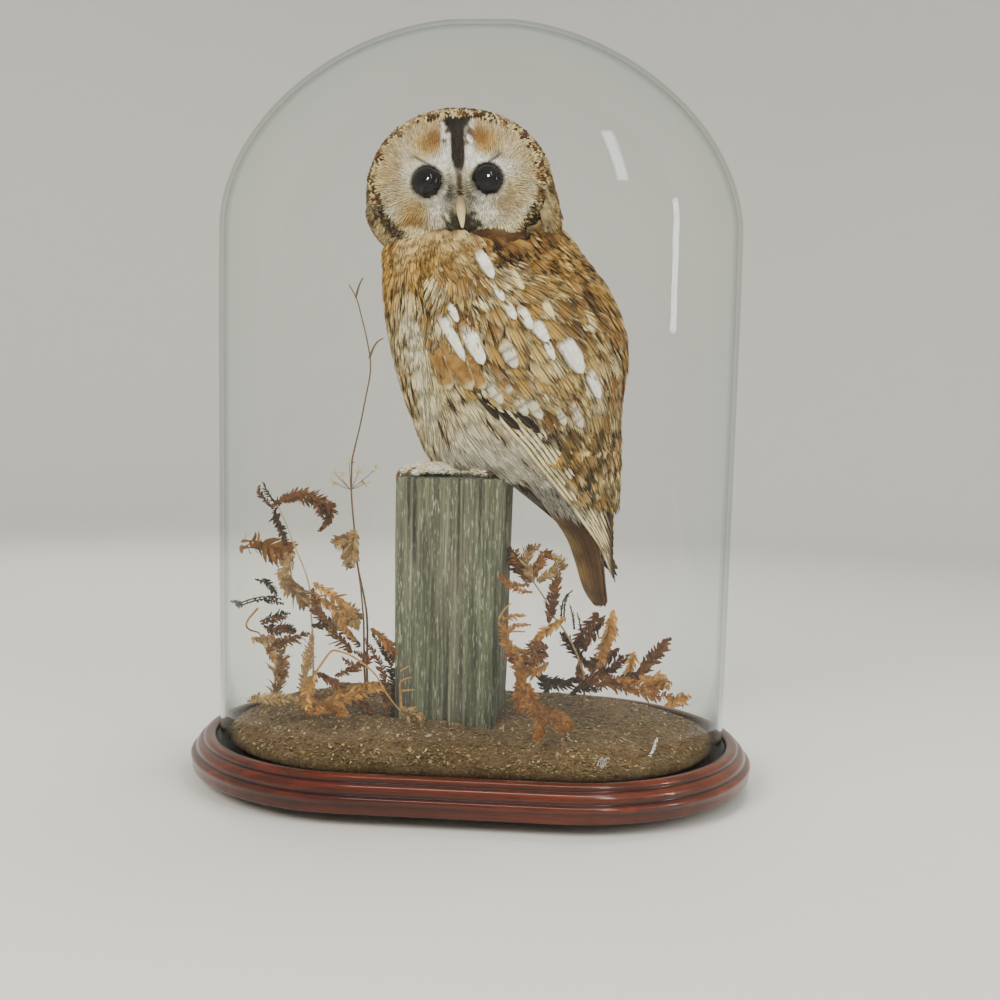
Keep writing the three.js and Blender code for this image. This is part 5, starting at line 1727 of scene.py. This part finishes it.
# dried plants: each strand is (place in depth, leaf length, tone, path of (across, up));
# a strand with no leaf length is a bare stalk
leafTones = {name: tone(code) for name, code in {
    "gold": "#bb8c49", "orange": "#8f612f", "brown": "#6b4626", "dark": "#3a2c20", "tan": "#a08355",
    "straw": "#c7b489", "red": "#5e3a22", "stalk": "#7d6446"}.items()}
strands = {
    "frond_pale": [
        (10, 0, "straw", [(-121, 47), (-123, 94), (-125, 114), (-126, 132), (-130, 145),
            (-137, 161), (-144, 179), (-150, 193), (-152, 196)]),
        (12, 2.5, "dark", [(-151, 195), (-157, 201), (-162, 208), (-162, 212)]),
        (10, 5, "brown", [(-152, 196), (-143, 201), (-134, 204), (-123, 202), (-114, 197),
            (-108, 191), (-112, 182), (-116, 178)]),
        (13, 4, "dark", [(-129, 202), (-123, 198), (-118, 191), (-115, 185)]),
        (20, 7, "tan", [(-152, 143), (-144, 133), (-133, 122), (-126, 113)]),
        (16, 6, "tan", [(-140, 158), (-143, 147), (-146, 136), (-139, 125)]),
    ],
    "umbel": [
        (20, 8, "tan", [(-93, 177), (-95, 168), (-96, 159), (-94, 148)]),
        (20, 5, "tan", [(-94, 171), (-101, 167), (-108, 163)]),
        (-30, 6, "orange", [(-70, 109), (-63, 106), (-56, 100), (-52, 92), (-51, 85)]),
        (-28, 4, "dark", [(-54, 42), (-53, 64), (-57, 89), (-69, 107)]),
        (-38, 0, "gold", [(-46, 55), (-47, 68), (-47, 77), (-39, 78)]),
        (-38, 0, "gold", [(-46, 68), (-37, 69)]),
        (-38, 0, "tan", [(-47, 82), (-40, 87)]),
        (22, 0, "stalk", [(-82, 51), (-82, 100), (-83, 114), (-86, 129), (-90, 145), (-93, 161),
            (-94, 178), (-96, 194), (-97, 207), (-97, 229), (-91, 256), (-87, 278), (-84, 294),
            (-84, 306), (-88, 325), (-95, 351), (-101, 361)]),
        (22, 0, "stalk", [(-95, 351), (-93, 358), (-90, 366)]),
        (22, 0, "stalk", [(-84, 306), (-81, 315), (-79, 319), (-73, 321)]),
        (25, 0, "stalk", [(-84, 51), (-86, 106), (-89, 131), (-93, 153), (-94, 175)]),
    ],
    "frond_dark": [
        (30, 11, "orange", [(-174, 168), (-163, 161), (-154, 157), (-144, 157)]),
        (32, 4, "dark", [(-156, 191), (-160, 186), (-153, 178), (-149, 167)]),
        (34, 3.5, "dark", [(-167, 135), (-162, 130), (-156, 122)]),
        (34, 3.5, "dark", [(-178, 120), (-164, 119), (-152, 115)]),
        (34, 4, "dark", [(-168, 102), (-157, 106), (-146, 109)]),
        (34, 5, "dark", [(-163, 98), (-154, 94), (-147, 98), (-141, 94)]),
        (26, 0, "gold", [(-169, 113), (-173, 106), (-172, 97), (-165, 91), (-158, 85)]),
    ],
    "frond_hang": [
        (-20, 6, "tan", [(-161, 98), (-149, 96), (-138, 95), (-132, 99)]),
        (-22, 5, "gold", [(-147, 88), (-140, 82), (-135, 76), (-138, 68)]),
        (-24, 6, "tan", [(-144, 53), (-142, 68), (-139, 84), (-139, 93), (-143, 102)]),
        (-26, 5, "brown", [(-139, 93), (-132, 98), (-124, 102), (-116, 106)]),
    ],
    "frond_fan": [
        (-8, 6, "gold", [(-118, 139), (-107, 131), (-99, 125), (-91, 114), (-84, 105)]),
        (-10, 8, "tan", [(-106, 102), (-97, 111), (-88, 114), (-82, 110)]),
        (-6, 4, "brown", [(-107, 107), (-113, 113), (-117, 121), (-120, 134)]),
        (-8, 4, "dark", [(-119, 107), (-109, 108), (-103, 111)]),
        (-12, 6, "brown", [(-87, 89), (-92, 95), (-100, 101), (-106, 112)]),
    ],
    "frond_arch": [
        (-46, 4, "tan", [(-117, 62), (-115, 79), (-113, 92), (-112, 100), (-110, 110)]),
        (-50, 0, "gold", [(-107, 79), (-101, 89), (-95, 98), (-82, 95), (-71, 89), (-62, 82),
            (-56, 72), (-49, 63), (-44, 58)]),
        (-52, 4, "tan", [(-44, 59), (-35, 58), (-27, 52)]),
        (-48, 6, "gold", [(-109, 57), (-92, 60), (-77, 66), (-66, 70), (-58, 71)]),
        (-40, 5, "brown", [(-106, 79), (-94, 73), (-83, 66), (-76, 61), (-65, 47)]),
        (-44, 4, "brown", [(-93, 78), (-85, 82), (-75, 85), (-88, 91)]),
        (-42, 6, "gold", [(-108, 78), (-110, 71), (-114, 61), (-109, 52)]),
    ],
    "frond_low": [
        (-62, 5, "tan", [(-152, 61), (-145, 65), (-135, 64), (-116, 64)]),
        (-66, 4, "orange", [(-78, 56), (-85, 59), (-96, 60), (-106, 56)]),
    ],
    "frond_curl": [
        (2, 0, "tan", [(84, 53), (84, 75), (78, 92), (72, 103), (65, 113), (59, 119), (54, 130),
            (45, 142), (38, 154)]),
        (0, 5.5, "orange", [(44, 144), (37, 151), (33, 157), (30, 164), (32, 168)]),
        (-2, 5.5, "tan", [(45, 144), (40, 153), (39, 162), (42, 170), (49, 171)]),
        (4, 5, "orange", [(45, 146), (48, 156), (52, 165), (57, 164), (60, 160)]),
        (2, 5, "tan", [(47, 144), (54, 150), (63, 154), (66, 158), (64, 163), (58, 164)]),
        (-42, 3, "orange", [(46, 143), (39, 143), (32, 145), (27, 150), (22, 154)]),
        (6, 5, "brown", [(59, 118), (60, 130), (60, 140), (63, 151)]),
        (-8, 5, "gold", [(69, 120), (60, 113), (53, 108), (46, 101)]),
    ],
    "frond_red": [
        (24, 1.6, "dark", [(65, 113), (65, 123), (67, 130), (71, 133)]),
        (26, 1.6, "dark", [(75, 105), (74, 115), (71, 123)]),
        (26, 6.5, "red", [(92, 119), (86, 109), (80, 99), (76, 90)]),
        (26, 5, "dark", [(84, 80), (78, 86), (73, 92), (64, 103)]),
    ],
    "frond_cluster": [
        (-40, 4.5, "gold", [(46, 99), (36, 101), (28, 105), (25, 113), (25, 121), (30, 126),
            (42, 127)]),
        (-46, 5.5, "gold", [(53, 96), (49, 90), (40, 88), (33, 94), (29, 102)]),
        (-44, 5, "orange", [(53, 96), (43, 95), (34, 96), (29, 99)]),
        (-42, 0, "gold", [(29, 114), (35, 115), (42, 115)]),
        (-40, 0, "gold", [(23, 123), (26, 130), (31, 134)]),
        (-38, 6, "red", [(58, 103), (52, 106), (47, 103), (51, 97), (57, 98)]),
        (-46, 6, "orange", [(42, 68), (41, 77), (39, 87), (41, 94)]),
    ],
    "frond_front": [
        (-60, 5, "orange", [(42, 86), (43, 74), (45, 62)]),
        (-64, 5.5, "orange", [(45, 83), (51, 71), (55, 60), (54, 44)]),
        (-66, 5.5, "orange", [(57, 67), (65, 64), (71, 58), (78, 53)]),
        (-30, 5, "dark", [(51, 80), (61, 75), (71, 76), (80, 79)]),
        (-34, 4, "dark", [(59, 70), (57, 76), (53, 82)]),
        (-30, 4, "dark", [(75, 68), (79, 73), (88, 74), (96, 73)]),
    ],
    "frond_tall": [
        (8, 6, "gold", [(103, 124), (103, 114), (100, 101), (96, 88)]),
        (12, 6, "red", [(109, 95), (102, 87), (96, 84), (88, 84)]),
        (10, 5, "red", [(83, 72), (96, 74), (106, 82), (112, 90)]),
        (6, 5.5, "gold", [(120, 94), (118, 86), (116, 76)]),
        (14, 5, "brown", [(81, 85), (79, 76), (83, 67), (90, 67), (92, 74), (87, 81)]),
    ],
    "frond_far": [
        (-6, 6.5, "brown", [(121, 76), (130, 87), (135, 95), (141, 102), (144, 108)]),
        (-10, 5, "gold", [(123, 79), (130, 76), (137, 79), (143, 78)]),
        (-4, 5, "dark", [(104, 70), (111, 75), (120, 76), (127, 79)]),
    ],
    "frond_spread": [
        (-34, 5.5, "orange", [(106, 82), (117, 79), (127, 75), (139, 78), (144, 76)]),
        (-38, 5, "gold", [(141, 64), (148, 68), (155, 73)]),
        (-30, 5, "brown", [(90, 76), (100, 77), (111, 75), (121, 74)]),
    ],
}
leafLook = {"gap": 1.9, "wide": 1.25, "thick": 0.2, "lean": 0.95, "curl": 0.3, "sway": 5.0,
            "stem": (0.75, 0.3), "stalk": (0.95, 0.45)}
umbelHeads = [(-110, 212), (-111, 219), (-87, 212), (-78, 223), (-99, 227), (-90, 221), (-105, 216)]


def strandPath(depth, places, source):
    # a smooth run through the listed places in steps of a millimetre, swaying in depth, kept
    # inside the glass
    places = np.asarray(places, dtype=float)
    far = np.concatenate([[0], np.cumsum(np.hypot(*np.diff(places, axis=0).T))])
    s = np.linspace(0, far[-1], max(int(far[-1] / 1.1), 8))
    x, z = np.interp(s, far, places[:, 0]), np.interp(s, far, places[:, 1])
    for _ in range(14):
        x[1:-1] = (x[:-2] + 2 * x[1:-1] + x[2:]) / 4
        z[1:-1] = (z[:-2] + 2 * z[1:-1] + z[2:]) / 4
    sway = leafLook["sway"] * np.sin(s / far[-1] * np.pi * source.uniform(0.6, 1.6)
                                     + source.uniform(0, 6)) * smooth(0, 25, s)
    room = np.sqrt(np.maximum(103 ** 2 - np.maximum(np.abs(x) - base["spine"], 0) ** 2, 0)) - 4
    return np.stack([x, np.clip(depth + sway, -room, room), z], -1)


def leaflets(path, reach, colour, source):
    # small leaves in two rows: each leans forward from the strand, is shortest at both ends of
    # the strand, bends on and curls out of its plane; a leaf is a flat tube of five rings
    length = len(path) * 1.1
    count = max(int(length / leafLook["gap"]), 3)
    share = np.repeat((np.arange(count) + 0.5) / count, 2)
    side = np.tile([1.0, -1.0], count)
    n = len(share)
    at = share * (len(path) - 1) + side * 0.35
    base_ = np.stack([np.interp(at, np.arange(len(path)), path[:, k]) for k in range(3)], -1)
    run = unit(np.gradient(path, axis=0))
    ahead_ = np.stack([np.interp(at, np.arange(len(path)), run[:, k]) for k in range(3)], -1)
    facing = np.array([source.normal(0, 0.35), -1.0, source.normal(0, 0.25)])
    across = unit(np.cross(ahead_, facing))
    out_ = unit(np.cross(across, ahead_))
    lean = leafLook["lean"] + source.normal(0, 0.16, n)
    way = across * (side * np.sin(lean))[:, None] + ahead_ * np.cos(lean)[:, None] \
        + out_ * source.normal(0.1, 0.4, n)[:, None]
    way = unit(way)
    size = 1.2 * reach * np.sin(np.pi * (0.1 + 0.86 * share)) ** 0.75 * source.uniform(0.65, 1.2, n)
    t = np.array([0, 0.25, 0.5, 0.75, 1.0])
    curl = source.normal(0.25, leafLook["curl"], n)
    spine = base_[:, None] + (way[:, None] * t[:, None] + ahead_[:, None] * (0.22 * t ** 2)[:, None]
                              + out_[:, None] * (t ** 2)[:, None] * curl[:, None, None]
                              ) * size[:, None, None]
    along = unit(np.gradient(spine, axis=1))
    twist = source.normal(0, 0.35, (n, 1)) + source.normal(0, 0.5, (n, 1)) * t
    wide = unit(np.cross(along, out_[:, None]))
    thin = np.cross(along, wide)
    wide, thin = (wide * np.cos(twist)[..., None] + thin * np.sin(twist)[..., None],
                  thin * np.cos(twist)[..., None] - wide * np.sin(twist)[..., None])
    half = leafLook["wide"] * (reach / 6) ** 0.5 * np.array([0.45, 1.0, 0.85, 0.75, 0.12]) \
        * source.uniform(0.7, 1.25, (n, 1))
    turn = np.arange(4) * np.pi / 2
    ring = wide[:, :, None] * np.cos(turn)[:, None] * half[..., None, None] \
        + thin[:, :, None] * np.sin(turn)[:, None] * leafLook["thick"]
    rings = spine[:, :, None] + ring
    ends = np.stack([rings[:, 0].mean(1), rings[:, -1].mean(1)], 1)
    points = np.concatenate([rings.reshape(n, 20, 3), ends], 1)
    _, template = closedRings(rings[0])
    start = np.arange(n)[:, None, None] * 22
    shade = colour * source.uniform(0.6, 1.25, (n, 1)) * np.stack(
        [np.ones(n), source.uniform(0.9, 1.05, n), source.uniform(0.8, 1.1, n)], -1)
    rows = shade[:, None] * np.array([0.8, 1.0, 1.05, 0.95, 0.8])[:, None]
    tint = np.concatenate([np.repeat(rows, 4, axis=1), rows[:, [0, -1]]], 1)
    return (points.reshape(-1, 3), [(f[None] + start).reshape(-1, f.shape[1]) for f in template],
            tint.reshape(-1, 3))


def joinTinted(shapes):
    # several (points, faces, tint) as one
    points, faces = joinShapes([shape[:2] for shape in shapes])
    return points, faces, np.concatenate([shape[2] for shape in shapes])


def bareStem(path, thick, colour):
    # a thin stem tapering along its path
    width = np.linspace(*thick, len(path))
    points, faces = closedRings(sweep(path, width, 5))
    return points, faces, np.tile(colour, (len(points), 1))


def makePlants():
    # every strand is a stem, with its leaves and a leafy twin beside it where it has a leaf length
    for seed, (node, rows) in enumerate(strands.items()):
        source = np.random.default_rng(600 + seed)
        parts = []
        for depth, reach, shade, places in rows:
            path = strandPath(depth, places, source)
            colour = leafTones[shade]
            thick = leafLook["stem"] if reach else leafLook["stalk"]
            parts.append(bareStem(path, thick, colour * 0.8))
            if reach:
                parts.append(leaflets(path, reach, colour, source))
                twin = strandPath(depth + source.choice([-11, 9]), np.array(places)
                                  + source.uniform((-6, -5), (6, 3)), source)
                tone2 = mix(colour, leafTones["brown"], source.uniform(0, 0.8))
                parts.append(bareStem(twin, thick, tone2 * 0.8))
                parts.append(leaflets(twin, reach * source.uniform(0.75, 1.05), tone2, source))
        if node == "umbel":
            parts.extend(starHeads(source))
        points, faces, tint = joinTinted(parts)
        slot = "dry_stalk" if node == "umbel" else "bracken"
        makePiece(node.replace("frond_", "bracken") if slot == "bracken" else "umbelStalk",
                  points, faces, leafFinish, [node], tint, shiny=False)


def starHeads(source):
    # the seed head: rays from the stalk to seven stars of thin dry bristles
    parts = []
    start = np.array([-97.0, 22.0, 207.0])
    for across, up in umbelHeads:
        tip = np.array([across, 22 + source.uniform(-8, 8), up])
        bend = (start + tip) / 2 + np.array([0, 0, -1.5])
        t = np.linspace(0, 1, 7)[:, None]
        path = start * (1 - t) ** 2 + 2 * bend * t * (1 - t) + tip * t ** 2
        parts.append(bareStem(path, (0.35, 0.25), leafTones["stalk"]))
        for _ in range(11):
            way = unit(source.normal(size=3) * np.array([1, 0.7, 0.75]))
            reach = source.uniform(3.2, 5.6)
            spike = tip + way * reach * t + np.array([0, 0, 0.8]) * t ** 2
            parts.append(bareStem(spike, (0.26, 0.3), leafTones["straw"] * 1.15))
    return parts


makePlants()
print("plants ready")

# two small lamps are mirrored only where they are wanted: in the eyes and in the polish
for lampName, takers in (("catchLight", ("glassEyeRight", "glassEyeLeft")),
                         ("stripLight", ("mahoganyBase",))):
    taken = bpy.data.collections.new(lampName + "Takers")
    for taker in takers:
        taken.objects.link(bpy.data.objects[taker])
    bpy.data.objects[lampName].light_linking.receiver_collection = taken
